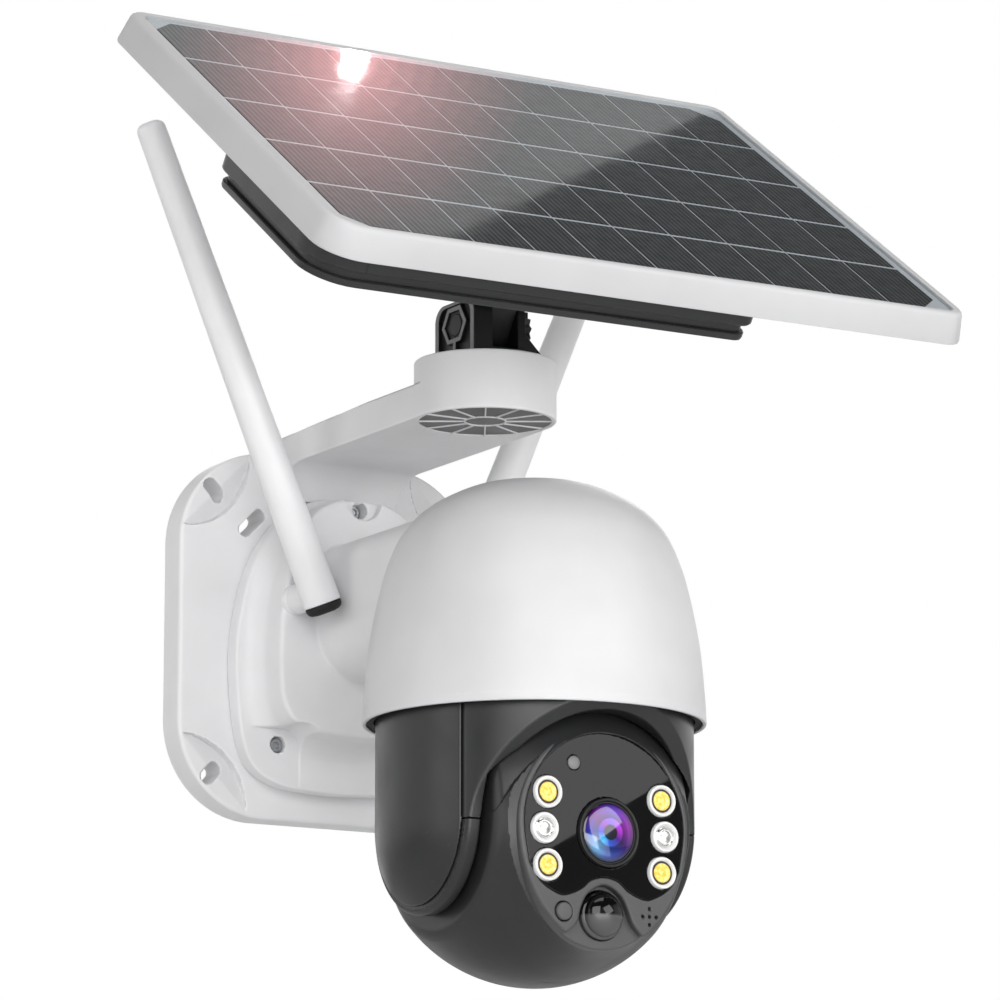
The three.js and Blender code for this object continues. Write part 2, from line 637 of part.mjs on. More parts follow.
function yokeOuter(shrink = 0) {
  const radius = YOKE.radius - shrink;
  const profile = [[0, YOKE.topZ - shrink], [YOKE.shoulderRadius, YOKE.topZ - shrink]];
  profile.push([radius - 3, YOKE.shoulderZ + 5 - shrink], [radius, YOKE.shoulderZ - shrink]);
  const steps = 12;
  for (let i = 0; i <= steps; i += 1) {
    const turn = (i / steps) * (Math.PI / 2);
    profile.push([radius * Math.cos(turn), BALL.z - radius * Math.sin(turn)]);
  }
  profile[profile.length - 1][0] = 0;
  return turned(profile, FINE).translate([0, DOME.y, 0]);
}

// The U-shaped outline of the cover on each ear: round about the tilt axis and open upwards.
function earOutline(radius) {
  const shape = new THREE.Shape();
  shape.moveTo(DOME.y + radius, YOKE.shoulderZ - 3);
  shape.lineTo(DOME.y - radius, YOKE.shoulderZ - 3);
  shape.lineTo(DOME.y - radius, BALL.z);
  shape.absarc(DOME.y, BALL.z, radius, Math.PI, 2 * Math.PI);
  return shape;
}

function buildYoke(yoke) {
  const arch = new THREE.Shape();
  arch.moveTo(-ARCH.radius, -160);
  arch.lineTo(ARCH.radius, -160);
  arch.absarc(0, ARCH.z, ARCH.radius, 0, Math.PI);
  const inner = YOKE.earInner;
  let fork = cut(
    yokeOuter(),
    prismY(arch, DOME.y - 80, DOME.y + 80, 14),
    rod('x', [DOME.y, BALL.z], YOKE_CLEARANCE, -inner + 0.2, inner - 0.2, FINE).intersect(yokeOuter(WALL)),
    ball(BALL.radius + 0.4, BALL.halfWidth + 0.4),
    rod('z', [0, DOME.y], 6, -60, 0, SMALL),
    rod('x', [DOME.y, BALL.z], TRUNNION.radius + GAP, -60, 60, MEDIUM),
  );
  const pocketOutline = earOutline(SIDE_COVER.radius);
  const coverOutline = earOutline(SIDE_COVER.radius - GAP);
  for (const [side, word] of [[-1, 'left'], [1, 'right']]) {
    const near = side * (SIDE_COVER.inner - GAP);
    const far = side * 70;
    const [x0, x1] = [near, far].sort((a, b) => a - b);
    fork = cut(fork, prismX(pocketOutline, x0, x1, 12));
    const [c0, c1] = [side * SIDE_COVER.inner, far].sort((a, b) => a - b);
    const cover = cut(yokeOuter().intersect(prismX(coverOutline, c0, c1, 12)), yokeOuter(WALL));
    add(yoke, `side_cover_${word}`, cover, 'darkPlastic');
  }
  const reach = 70;
  const upper = block([-reach, DOME.y - reach, EAR_SEAM_Z + GAP / 2], [reach, DOME.y + reach, 0]);
  add(yoke, 'yoke_shell', fork.intersect(upper), 'darkPlastic');
  for (const [side, word] of [[-1, 'left'], [1, 'right']]) {
    const [x0, x1] = [side * 30, side * reach].sort((a, b) => a - b);
    const lower = block([x0, DOME.y - reach, -160], [x1, DOME.y + reach, EAR_SEAM_Z - GAP / 2]);
    add(yoke, `ear_cap_${word}`, fork.intersect(lower), 'darkPlastic');
  }
}

// ------------------------------------------------------------------------------------ ball head

function ball(radius, halfWidth) {
  const geometry = new THREE.SphereGeometry(radius, FINE, FINE / 2);
  geometry.rotateZ(Math.PI / 2);
  geometry.translate(0, DOME.y, BALL.z);
  const reach = radius + 5;
  const slab = block(
    [-halfWidth, DOME.y - reach, BALL.z - reach],
    [halfWidth, DOME.y + reach, BALL.z + reach],
  );
  return solid(geometry).intersect(slab);
}

// The oval of the face: a half circle above its centre line and a longer half ellipse below it.
function faceOval(shrink) {
  const half = FACE.halfWidth - shrink;
  const shape = new THREE.Shape();
  shape.absarc(0, FACE.centreZ, half, 0, Math.PI);
  shape.absellipse(0, FACE.centreZ, half, FACE.lowerHeight - shrink, Math.PI, 2 * Math.PI);
  return shape;
}

// The black window: the upper oval closed below by a wave that rises over the motion sensor.
function windowOutline(shrink) {
  const wave = [[-29.6, -107], [-25.5, -112.6], [-19, -116.4], [-10.5, -115], [-5.4, -111.2], [0, -109.9]];
  const mirrored = wave.slice(0, -1).reverse().map(([x, z]) => [-x, z]);
  const points = [...wave, ...mirrored].map(([x, z]) => new THREE.Vector2(x * (1 - shrink / 30), z + shrink));
  const half = FACE.halfWidth - GLASS.inset - shrink;
  const shape = new THREE.Shape();
  shape.moveTo(points[0].x, points[0].y);
  shape.splineThru(points.slice(1));
  shape.lineTo(half, FACE.centreZ - 5);
  shape.absarc(0, FACE.centreZ, half, 0, Math.PI);
  shape.lineTo(-half, FACE.centreZ - 5);
  return shape;
}

const LEDS = [
  { name: 'white_led_upper_left', x: -WHITE_LED.x, z: WHITE_LED.upperZ, radius: WHITE_LED.radius },
  { name: 'white_led_upper_right', x: WHITE_LED.x, z: WHITE_LED.upperZ, radius: WHITE_LED.radius },
  { name: 'infrared_led_left', x: -IR_LED.x, z: IR_LED.z, radius: IR_LED.radius },
  { name: 'infrared_led_right', x: IR_LED.x, z: IR_LED.z, radius: IR_LED.radius },
  { name: 'white_led_lower_left', x: -WHITE_LED.x, z: WHITE_LED.lowerZ, radius: WHITE_LED.radius },
  { name: 'white_led_lower_right', x: WHITE_LED.x, z: WHITE_LED.lowerZ, radius: WHITE_LED.radius },
];

// A turned piece that faces the front: profile heights run forwards, along -Y, from the face plane.
function facing(profile, x, z, segments = MEDIUM) {
  return turned(profile, segments).rotate([90, 0, 0]).translate([x, FACE.y, z]);
}

function buildHead(head, buttonGroup) {
  const splitY = DOME.y - 10;
  const reach = 80;
  const trunnions = rod('x', [DOME.y, BALL.z], TRUNNION.radius, -45, 45, MEDIUM);
  const bore = rod('x', [DOME.y, BALL.z], TRUNNION.bore, -60, 60, SMALL);
  const hollow = ball(BALL.radius - WALL, BALL.halfWidth - WALL);
  const rearHalf = block([-reach, splitY + GAP / 2, -160], [reach, 0, 0]);
  const frontHalf = block([-reach, -300, -160], [reach, splitY - GAP / 2, 0]);
  const rear = cut(union(ball(BALL.radius, BALL.halfWidth), trunnions), hollow, bore).intersect(rearHalf);
  add(head, 'head_rear_shell', rear, 'darkPlastic');

  const seat = prismY(faceOval(-GAP), -300, FACE.seatY, 12);
  const front = cut(ball(BALL.radius, BALL.halfWidth), hollow, seat).intersect(frontHalf);
  add(head, 'head_front_shell', front, 'darkPlastic');

  const lip = cut(prismY(faceOval(0), FACE.seatY - 2, -185, 12), ball(BALL.radius + GAP, 60));
  let bezel = union(prismY(faceOval(0), FACE.y, FACE.seatY - GAP, 12), lip);
  bezel = cut(bezel, prismY(windowOutline(-GAP), FACE.y - 1, FACE.y + GLASS.depth, 5));
  const opening = (x, z, radius, segments) => rod('y', [x, z], radius + GAP, -215, -180, segments);
  const windowHoles = [
    opening(LENS.x, LENS.z, LENS.ringRadius, MEDIUM),
    opening(LIGHT_SENSOR.x, LIGHT_SENSOR.z, LIGHT_SENSOR.radius, SMALL),
    ...LEDS.map((led) => opening(led.x, led.z, led.radius, HOLE)),
  ];
  const { pitch } = MICROPHONE;
  const soundHoles = [[0, 0], [1, 0], [-1, 0], [0, 1], [0, -1]].map(([i, k]) => (
    opening(MICROPHONE.x + i * pitch, MICROPHONE.z + k * pitch, MICROPHONE.radius - GAP, 6)
  ));
  bezel = cut(
    bezel,
    opening(0, PIR.z, PIR.radius, MEDIUM),
    opening(BUTTON.x, BUTTON.z, BUTTON.radius, SMALL),
    ...windowHoles,
    ...soundHoles,
  );
  add(head, 'face_bezel', bezel, 'bezelPlastic');

  const glassFront = FACE.y + GAP;
  const glass = prismY(windowOutline(0), glassFront, FACE.y + GLASS.depth - GAP, 5);
  add(head, 'face_glass', cut(glass, ...windowHoles), 'blackGloss');

  const out = FACE.y - LENS.frontY;
  const back = FACE.y - LENS.rearY;
  const { ringRadius: ring, glassRadius: pane } = LENS;
  const barrel = facing([
    [pane - 1.5, back], [ring, back], [ring, out - 0.6], [ring - 0.6, out], [pane + GAP, out],
    [pane + GAP, 0], [pane - 1.5, 0], [pane - 1.5, back],
  ], LENS.x, LENS.z);
  add(head, 'lens_barrel', barrel, 'blackPlastic');
  const lens = facing([[0, GAP], [pane, GAP], [pane, 0.8], [7.5, 1.4], [4, 1.8], [0, 1.9]], LENS.x, LENS.z);
  add(head, 'lens_glass', lens, 'lensGlass');

  for (const led of LEDS) {
    const r = led.radius;
    const lamp = facing([
      [0, -5.6], [r, -5.6], [r, 1.2], [r - 1.2, 1.2], [2.6, 0.2], [0, 1.2],
    ], led.x, led.z, HOLE);
    add(head, led.name, lamp, 'ledSilver');
  }

  const eye = LIGHT_SENSOR.radius;
  const sensor = facing([
    [0, -5.6], [eye, -5.6], [eye, 0], [eye * 0.6, 0.5], [0, 0.7],
  ], LIGHT_SENSOR.x, LIGHT_SENSOR.z, SMALL);
  add(head, 'light_sensor', sensor, 'ledSilver');

  const bulge = PIR.radius - 1.2;
  const bulgeHeight = bulge * 0.62;
  const dome = [0, 25, 50, 75].map((a) => [bulge * Math.cos(rad(a)), bulgeHeight * Math.sin(rad(a)) - 1]);
  const pir = facing([
    [0, -5.4], [PIR.radius, -5.4], [PIR.radius, -1.4], [bulge, -1.4], ...dome, [0, bulgeHeight - 1],
  ], 0, PIR.z);
  add(head, 'pir_lens', pir, 'pirLens');

  const { radius: capRadius } = BUTTON;
  const cap = facing([
    [0, -4.5], [capRadius, -4.5], [capRadius, 0.4], [capRadius - 0.5, 0.9], [0, 0.9],
  ], BUTTON.x, BUTTON.z, HOLE);
  add(buttonGroup, 'reset_button', cap, 'blackRubber');

  const boardY = LENS.rearY + GAP;
  const board = cut(
    union(
      block([-28, boardY, -110], [28, boardY + 1.6, -70]),
      block([-8, boardY + 1, -102], [8, boardY + 4, -86]),
      block([12, boardY + 1, -108], [22, boardY + 4, -100]),
    ),
    rod('y', [-24, -74], 1.6, -200, -180, SMALL),
    rod('y', [24, -74], 1.6, -200, -180, SMALL),
  );
  add(head, 'image_sensor_board', board, 'board');

  const motorEnd = -(BALL.halfWidth - WALL) + GAP;
  const motor = union(
    rod('x', [DOME.y + 1, BALL.z], MOTOR.radius, motorEnd, motorEnd + MOTOR.length, MEDIUM),
    rod('x', [DOME.y, BALL.z], MOTOR.shaftRadius, -45.5, motorEnd + 2, SMALL),
  );
  add(head, 'tilt_motor', motor, 'motorSteel');
}

// ------------------------------------------------------------------------------- panel arm

function buildArm() {
  const { bottomZ, topZ, filletRadius, footBottomZ, halfWidth } = ARM;
  const front = -PLATE.depth - GAP;
  const filletStart = front - filletRadius;
  const filletEnd = Math.asin((footBottomZ - (bottomZ - filletRadius)) / filletRadius);
  const profile = new THREE.Shape();
  profile.moveTo(0, PLATE.height / 2 + GAP);
  profile.lineTo(0, topZ - 1.8);
  profile.lineTo(BOSS.y + 40, topZ);
  profile.lineTo(BOSS.y, topZ);
  profile.lineTo(BOSS.y, bottomZ);
  profile.lineTo(filletStart, bottomZ);
  profile.absarc(filletStart, bottomZ - filletRadius, filletRadius, Math.PI / 2, filletEnd, true);
  profile.lineTo(front, footBottomZ);
  profile.lineTo(front, PLATE.height / 2 + GAP);
  const radius = halfWidth;
  const recess = BOSS.recessDepth;
  let arm = union(
    prismX(profile, -halfWidth, halfWidth, 10),
    rod('z', [0, BOSS.y], radius, bottomZ, BOSS.topZ, FINE),
  );
  const ribHalf = 0.55;
  let dish = cut(
    rod('z', [0, BOSS.y], BOSS.recessRadius, bottomZ - 1, bottomZ + recess, FINE),
    cut(
      rod('z', [0, BOSS.y], BOSS.hubRadius, bottomZ + 0.6, bottomZ + recess + 1, MEDIUM),
      rod('z', [0, BOSS.y], BOSS.hubRadius - 1.2, bottomZ, bottomZ + recess, MEDIUM),
    ),
  );
  for (let i = 0; i < BOSS.ribs; i += 1) {
    const geometry = new THREE.BoxGeometry(BOSS.recessRadius, 2 * ribHalf, recess);
    geometry.translate(BOSS.hubRadius + BOSS.recessRadius / 2 - 0.6, 0, bottomZ + 0.6 + recess / 2);
    geometry.rotateZ((2 * Math.PI * i) / BOSS.ribs);
    geometry.translate(0, BOSS.y, 0);
    dish = cut(dish, solid(geometry));
  }
  arm = cut(arm, dish, rod('z', [0, BOSS.y], BOLT.radius + GAP, bottomZ - 1, BOSS.topZ + 1, SMALL));
  for (const { x, z } of ARM_SCREWS) {
    arm = cut(arm, rod('y', [x, z], HOUSING_SCREW.shankRadius + GAP, front - 6, 0, SMALL));
  }
  add(camera, 'panel_arm', arm, 'lightPlastic');
}

// ------------------------------------------------------------------------- panel bracket

function buildBracket(swivel) {
  const { left, right, front: frontY, back: backY, topZ, cornerRadius, slotHalf } = BRACKET;
  const baseZ = BOSS.topZ + GAP;
  const side = new THREE.Shape();
  side.moveTo(frontY, baseZ);
  side.lineTo(backY, baseZ);
  side.lineTo(backY, topZ - cornerRadius);
  side.absarc(backY - cornerRadius, topZ - cornerRadius, cornerRadius, 0, Math.PI / 2);
  side.lineTo(frontY + cornerRadius, topZ);
  side.absarc(frontY + cornerRadius, topZ - cornerRadius, cornerRadius, Math.PI / 2, Math.PI);
  const footReach = 9;
  const gussetTop = TILT_AXIS_Z - 4;
  const gusset = polygon([
    [right - 2, baseZ], [right + footReach, baseZ], [right, gussetTop], [right - 2, gussetTop],
  ]);
  const slotFloor = baseZ + 3;
  const hex = hexagon(BOSS.y, TILT_AXIS_Z, BOLT.nutFlats + 2 * GAP);
  const nutDepth = 5;
  let bracket = union(prismX(side, left, right, 5), prismY(gusset, frontY, frontY + 2.5));
  bracket = cut(
    bracket,
    block([-slotHalf, frontY - 5, slotFloor], [slotHalf, backY + 5, topZ + 5]),
    prismX(hex, left - 1, left + nutDepth),
    rod('x', [BOSS.y, TILT_AXIS_Z], BOLT.radius + GAP, -30, 30, SMALL),
    rod('z', [0, BOSS.y], BOLT.radius + GAP, baseZ - 1, slotFloor + 1, SMALL),
  );
  add(swivel, 'swivel_bracket', bracket, 'blackPlastic');

  const hubTop = ARM.bottomZ + BOSS.recessDepth;
  const swivelBolt = union(
    rod('z', [0, BOSS.y], 6, hubTop - 4 - GAP, hubTop - GAP, SMALL),
    rod('z', [0, BOSS.y], BOLT.radius, hubTop - 1, slotFloor, SMALL),
  );
  add(swivel, 'swivel_bolt', swivelBolt, 'steel');

  const discStart = right + GAP;
  const discEnd = BOLT.discEnd;
  const teeth = Array.from({ length: 2 * BOLT.discTeeth }, (_, i) => {
    const angle = (Math.PI * i) / BOLT.discTeeth;
    const reach = BOLT.discRadius - (i % 2) * 1.4;
    return [BOSS.y + reach * Math.cos(angle), TILT_AXIS_Z + reach * Math.sin(angle)];
  });
  const tiltBolt = union(
    prismX(polygon(teeth), discStart, discEnd),
    rod('x', [BOSS.y, TILT_AXIS_Z], BOLT.radius, left + 0.6, discStart + 1, SMALL),
  );
  add(swivel, 'tilt_bolt', tiltBolt, 'blackPlastic');

  const nut = cut(
    prismX(hexagon(BOSS.y, TILT_AXIS_Z, BOLT.nutFlats), left + 0.8, left + nutDepth - GAP),
    rod('x', [BOSS.y, TILT_AXIS_Z], BOLT.radius + GAP, -30, 30, SMALL),
  );
  add(swivel, 'tilt_nut', nut, 'blackPlastic');
}

// ------------------------------------------------------------------------------ solar panel

// A rectangle with a radius for each corner: low left, low right, high right, high left.
function cornerRect([x0, x1], [y0, y1], [a, b, c, d]) {
  const shape = new THREE.Shape();
  shape.absarc(x0 + a, y0 + a, a, Math.PI, 1.5 * Math.PI);
  shape.absarc(x1 - b, y0 + b, b, 1.5 * Math.PI, 2 * Math.PI);
  shape.absarc(x1 - c, y1 - c, c, 0, Math.PI / 2);
  shape.absarc(x0 + d, y1 - d, d, Math.PI / 2, Math.PI);
  return shape;
}

// The same about the centre, with each radius grown by bend.
function centredRect(width, length, corners, bend = 0) {
  return cornerRect([-width / 2, width / 2], [-length / 2, length / 2], corners.map((r) => r + bend));
}

// Everything on the panel is drawn in its own frame: X across, Y up the slope, Z out of the glass.
function buildPanel(panel) {
  const onSlope = new THREE.Group();
  onSlope.position.set(0, PANEL.y, PANEL.z);
  onSlope.rotation.x = rad(PANEL.tilt);
  panel.add(onSlope);

  const frameAt = (across, up, bend, z) => (
    centredRect(PANEL.width + 2 * across, PANEL.length + 2 * up, PANEL_CORNERS, bend).getPoints(6)
      .map((p) => new THREE.Vector3(p.x, p.y, z))
  );
  const { across, up } = PANEL_FLARE;
  const skin = loft([frameAt(across, up, up, -PANEL.depth), frameAt(0, 0, 0, -1), frameAt(-1, -1, -1, 0)]);
  const { width, length, corners } = PANEL_OPENING;
  const ledge = 7;
  const glassSeat = prismZ(centredRect(width, length, corners), -3.8, 1);
  const pan = prismZ(roundedRect(width - 2 * ledge, length - 2 * ledge, 4), -PANEL.depth + 2, -2);
  add(onSlope, 'panel_frame', cut(skin, glassSeat, pan), 'whitePlastic');
  const pane = centredRect(width - 2 * GAP, length - 2 * GAP, corners, -GAP);
  add(onSlope, 'solar_cells', prismZ(pane, -3.5, -2.9), 'cells');
  add(onSlope, 'panel_glass', prismZ(pane, -2.6, -0.6), 'clearGlass');

  // The electronics box sits off centre, towards the low left corner of the panel.
  const { left, right, rear, front, bodyBottom, bottom } = BACK_BOX;
  const boxCorners = [18, 8, 8, 8];
  const boxShape = (shrink) => cornerRect(
    [left + shrink, right - shrink], [front + shrink, rear - shrink], boxCorners.map((r) => r - shrink),
  );
  const boxTop = -PANEL.depth - GAP;
  const body = cut(
    union(prismZ(boxShape(0), bodyBottom + 1, boxTop), prismZ(boxShape(1.2), bodyBottom, bodyBottom + 2)),
    prismZ(boxShape(2.2), bodyBottom + 2, boxTop + 1),
  );
  add(onSlope, 'back_box', body, 'darkPlastic');
  const grooveTop = bodyBottom - GAP;
  const lid = union(
    prismZ(boxShape(3), grooveTop - 3, grooveTop),
    prismZ(boxShape(1.5), bottom + 0.6, grooveTop - 2.7),
    prismZ(boxShape(2.1), bottom, bottom + 1),
  );
  add(onSlope, 'back_box_cover', lid, 'darkPlastic');

  // The lug reaches from the panel's back, behind the box, down to the tilt bolt.
  const axis = new THREE.Vector3(0, BOSS.y - PANEL.y, TILT_AXIS_Z - PANEL.z);
  axis.applyAxisAngle(new THREE.Vector3(1, 0, 0), -rad(PANEL.tilt));
  const eye = 8.5;
  const behind = rear + GAP;
  const tongue = new THREE.Shape();
  tongue.moveTo(behind, boxTop);
  tongue.lineTo(behind, bottom - 0.5);
  tongue.lineTo(axis.y - eye, bottom - 8);
  tongue.lineTo(axis.y - eye, axis.z);
  tongue.absarc(axis.y, axis.z, eye, Math.PI, 2 * Math.PI);
  tongue.lineTo(axis.y + eye, bottom - 10);
  tongue.lineTo(behind + 22, boxTop - 6);
  tongue.lineTo(behind + 22, boxTop);
  const lugHalf = BRACKET.slotHalf - GAP;
  const lug = cut(
    union(
      prismX(tongue, -lugHalf, lugHalf, 6),
      block([-24, behind, boxTop - 3], [24, behind + 30, boxTop]),
    ),
    rod('x', [axis.y, axis.z], BOLT.radius + GAP, -30, 30, SMALL),
  );
  add(onSlope, 'panel_lug', lug, 'blackPlastic');

  const [glandX, glandY] = [34, behind + 18];
  const gland = cut(
    union(
      rod('z', [glandX, glandY], 5.5, boxTop - 12, boxTop, SMALL),
      prismZ(hexagon(glandX, glandY, 13), boxTop - 6, boxTop - 2),
    ),
    rod('z', [glandX, glandY], 2.6, boxTop - 14, boxTop - 1.5, SMALL),
  );
  add(onSlope, 'panel_cable_gland', gland, 'blackRubber');
}

// --------------------------------------------------------------------------------- antennas

function buildAntenna(group, side, word) {
  const lean = side * rad(ANTENNA.lean);
  const along = (s) => [side * ANTENNA.x + s * Math.sin(lean), ANTENNA.z + s * Math.cos(lean)];
  const { length, baseRadius: base, tipRadius: tip, y } = ANTENNA;
  const foot = [side * ANTENNA.x, y, ANTENNA.z];
  const place = (body) => body.rotate([0, ANTENNA.lean * side, 0]).translate(foot);
  const round = [0, 25, 50, 70].map((a) => [tip * Math.cos(rad(a)), length - 3.6 + 3.6 * Math.sin(rad(a))]);
  const pivot = along(ANTENNA_PIVOT_ALONG);
  const pivotRadius = 3.6;
  const stubEndY = y + 10;
  const aerial = union(
    place(turned([[0, 0], [base - 0.5, 0], [base, 0.8], ...round, [0, length]], MEDIUM)),
    rod('y', pivot, pivotRadius, y, stubEndY, SMALL),
  );
  add(group, `antenna_rod_${word}`, aerial, 'whitePlastic');
  const cap = turned([[0, -2.8], [4.4, -2.8], [6.2, -1.2], [6.2, -GAP], [0, -GAP]], MEDIUM);
  add(group, `antenna_boot_${word}`, place(cap), 'blackRubber');
  const socketFront = HOUSING.faceY - 3;
  const knuckle = rod('y', pivot, 5.6, stubEndY + GAP, socketFront - GAP, MEDIUM);
  add(group, `antenna_knuckle_${word}`, knuckle, 'blackRubber');
  const socket = rod('y', pivot, 5.2, socketFront, HOUSING.faceY - GAP, MEDIUM);
  add(camera, `antenna_socket_${word}`, socket, 'lightPlastic');
}

// --------------------------------------------------------------------------------- assembly

const groups = Array.from({ length: 8 }, () => new THREE.Group());
const [
  yokeGroup, pinionGroup, headGroup, buttonGroup, swivelGroup, panelGroup, leftGroup, rightGroup,
] = groups;
camera.add(...groups);

buildWallPlate();
buildRearHousing();
buildScrews();
buildPower();
buildDome();
buildPanDrive(yokeGroup, pinionGroup);
buildYoke(yokeGroup);
buildHead(headGroup, buttonGroup);
buildArm();
buildBracket(swivelGroup);
buildPanel(panelGroup);
buildAntenna(leftGroup, -1, 'left');
buildAntenna(rightGroup, 1, 'right');

export default camera;
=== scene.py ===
import json
import math
from math import cos, pi, radians, sin, sqrt, tan

import bpy
import numpy as np
import openvdb
from mathutils import Matrix, Vector
from numpy import hypot, linspace, maximum, minimum


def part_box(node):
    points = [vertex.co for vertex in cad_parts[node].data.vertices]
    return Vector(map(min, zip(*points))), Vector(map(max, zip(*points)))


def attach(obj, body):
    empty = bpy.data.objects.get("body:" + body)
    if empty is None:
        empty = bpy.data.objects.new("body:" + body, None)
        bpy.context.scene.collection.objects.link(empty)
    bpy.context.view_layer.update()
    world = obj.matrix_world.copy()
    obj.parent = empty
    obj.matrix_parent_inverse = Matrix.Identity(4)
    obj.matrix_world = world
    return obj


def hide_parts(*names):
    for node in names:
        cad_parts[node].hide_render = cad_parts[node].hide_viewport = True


# Solar-powered pan-tilt security camera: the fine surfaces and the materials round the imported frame.
# Shapes are written in millimetres in the row frame and become metres when a mesh is made.

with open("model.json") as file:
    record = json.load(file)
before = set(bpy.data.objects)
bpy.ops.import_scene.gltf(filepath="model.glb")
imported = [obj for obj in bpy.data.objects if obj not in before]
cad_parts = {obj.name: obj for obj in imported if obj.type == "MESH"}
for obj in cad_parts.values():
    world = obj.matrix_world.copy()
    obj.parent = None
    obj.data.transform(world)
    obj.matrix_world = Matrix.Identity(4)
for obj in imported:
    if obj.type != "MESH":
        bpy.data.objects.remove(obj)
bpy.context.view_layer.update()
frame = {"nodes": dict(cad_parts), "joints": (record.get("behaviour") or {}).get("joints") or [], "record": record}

MM = 0.001


def joint_place(name):
    joint = next(j for j in frame["joints"] if j["name"] == name)
    return [v / MM for v in joint["pos_m"]]


def box_mm(node):
    low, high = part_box(node)
    return [v / MM for v in low], [v / MM for v in high]


# -------- sizes

_, PAN_Y, BALL_Z = joint_place("camera_tilt")
_, BOSS_Y, HINGE_Z = joint_place("panel_tilt")
PLATE_FRONT = box_mm("wall_plate")[0][1]
PLATE_HALF = [box_mm("wall_plate")[1][0], box_mm("wall_plate")[1][2]]
STEP_Y, FACE_Y, NECK_HALF, NECK_TOP = -21.5, -40.0, 19.3, 31.0
RIM_Z, DOME_TOP, DOME_WALL = -51.8, 34.0, 2.2
YOKE_R, BALL_R, BALL_HALF = 55.5, 55.0, 38.5
ARCH_R, ARCH_Z, SEAM_Z, COVER_R = 40.5, -93.5, -90.7, 30.2
FRONT = -209.0                     # the front plane of the face
TO_FRONT, UPWARD = (0, -1, 0), (0, 0, 1)
SIDES = ((-1, "left"), (1, "right"))
LOOK_UP = radians(10)              # how far the head can look up
ARM_HALF, ARM_LOW, ARM_TOP, BOSS_TOP = 25.6, 62.7, 75.2, 84.2
PANEL_AT, PANEL_TILT = (0, -170.1, 150), radians(35.75)
ANTENNA = dict(x=26.9, y=-58, z=4.5, lean=radians(23.2), length=187.5, base=7.0, tip=5.45, pivot=5.1)
SCREWS = [("top", 0, 46.2, -30), ("left", -25.6, -42, -18), ("right", 25.6, -42, -18)]
ARM_SCREW_X, ARM_SCREW_Z = 16, 58
EYE = Vector((-0.89913, -1.65892, -0.32081))    # where the studio's camera stands, in metres


# -------- fields: distance in mm

def join(a, b, r):
    """Both bodies, with a fillet of radius r where they meet."""
    return maximum(r, minimum(a, b)) - hypot(maximum(r - a, 0), maximum(r - b, 0))


def meet(a, b, r):
    """What two bodies share, with its edge rounded to r."""
    return -join(-a, -b, r)


def cut(a, b, r):
    return meet(a, -b, r)


def within(w, low, high):
    return abs(w - (low + high) / 2) - (high - low) / 2


def disc(u, v, cu, cv, r):
    return hypot(u - cu, v - cv) - r


def rounded(u, v, half_u, half_v, r):
    qu, qv = abs(u) - half_u + r, abs(v) - half_v + r
    return hypot(maximum(qu, 0), maximum(qv, 0)) + minimum(maximum(qu, qv), 0) - r


def capsule(u, v, half_length, r, turn):
    along = u * cos(turn) + v * sin(turn)
    across = v * cos(turn) - u * sin(turn)
    return hypot(maximum(abs(along) - half_length, 0), across) - r


def spline(points, steps, closed=False):
    """A smooth curve through the points."""
    p = [np.array(q, float) for q in points]
    ends = [p[-1], *p, p[0], p[1]] if closed else [2 * p[0] - p[1], *p, 2 * p[-1] - p[-2]]
    out = []
    for a, b, c, d in zip(ends, ends[1:], ends[2:], ends[3:]):
        for i in range(steps):
            t = i / steps
            out.append(0.5 * (2 * b + (c - a) * t + (2 * a - 5 * b + 4 * c - d) * t * t
                              + (3 * b - a - 3 * c + d) * t ** 3))
    return out if closed else [*out, p[-1]]


class Outline:
    """The distance to a closed outline in a plane, tabulated once and then read between its points."""

    def __init__(self, points, pitch=0.25, margin=7.0):
        p = np.array(points, float)
        self.low, self.pitch = p.min(0) - margin, pitch
        count = np.ceil((p.max(0) + margin - self.low) / pitch).astype(int) + 1
        u = self.low[0] + pitch * np.arange(count[0])[:, None]
        v = self.low[1] + pitch * np.arange(count[1])[None, :]
        nearest = np.full(count, np.inf)
        inside = np.zeros(count, bool)
        for a, b in zip(p, np.roll(p, -1, 0)):
            e = b - a
            if e @ e < 1e-12:
                continue
            t = np.clip(((u - a[0]) * e[0] + (v - a[1]) * e[1]) / (e @ e), 0, 1)
            nearest = minimum(nearest, (u - a[0] - t * e[0]) ** 2 + (v - a[1] - t * e[1]) ** 2)
            if a[1] != b[1]:
                inside ^= ((a[1] > v) != (b[1] > v)) & (u < e[0] * (v - a[1]) / e[1] + a[0])
        self.table = np.sqrt(nearest) * np.where(inside, -1, 1)

    def __call__(self, u, v):
        u, v = np.broadcast_arrays(u, v)
        top = np.array(self.table.shape) - 1.001
        i = np.clip((u - self.low[0]) / self.pitch, 0, top[0])
        k = np.clip((v - self.low[1]) / self.pitch, 0, top[1])
        i0, k0 = i.astype(int), k.astype(int)
        di, dk = i - i0, k - k0
        t = self.table
        return ((t[i0, k0] * (1 - di) + t[i0 + 1, k0] * di) * (1 - dk)
                + (t[i0, k0 + 1] * (1 - di) + t[i0 + 1, k0 + 1] * di) * dk)


# -------- meshes

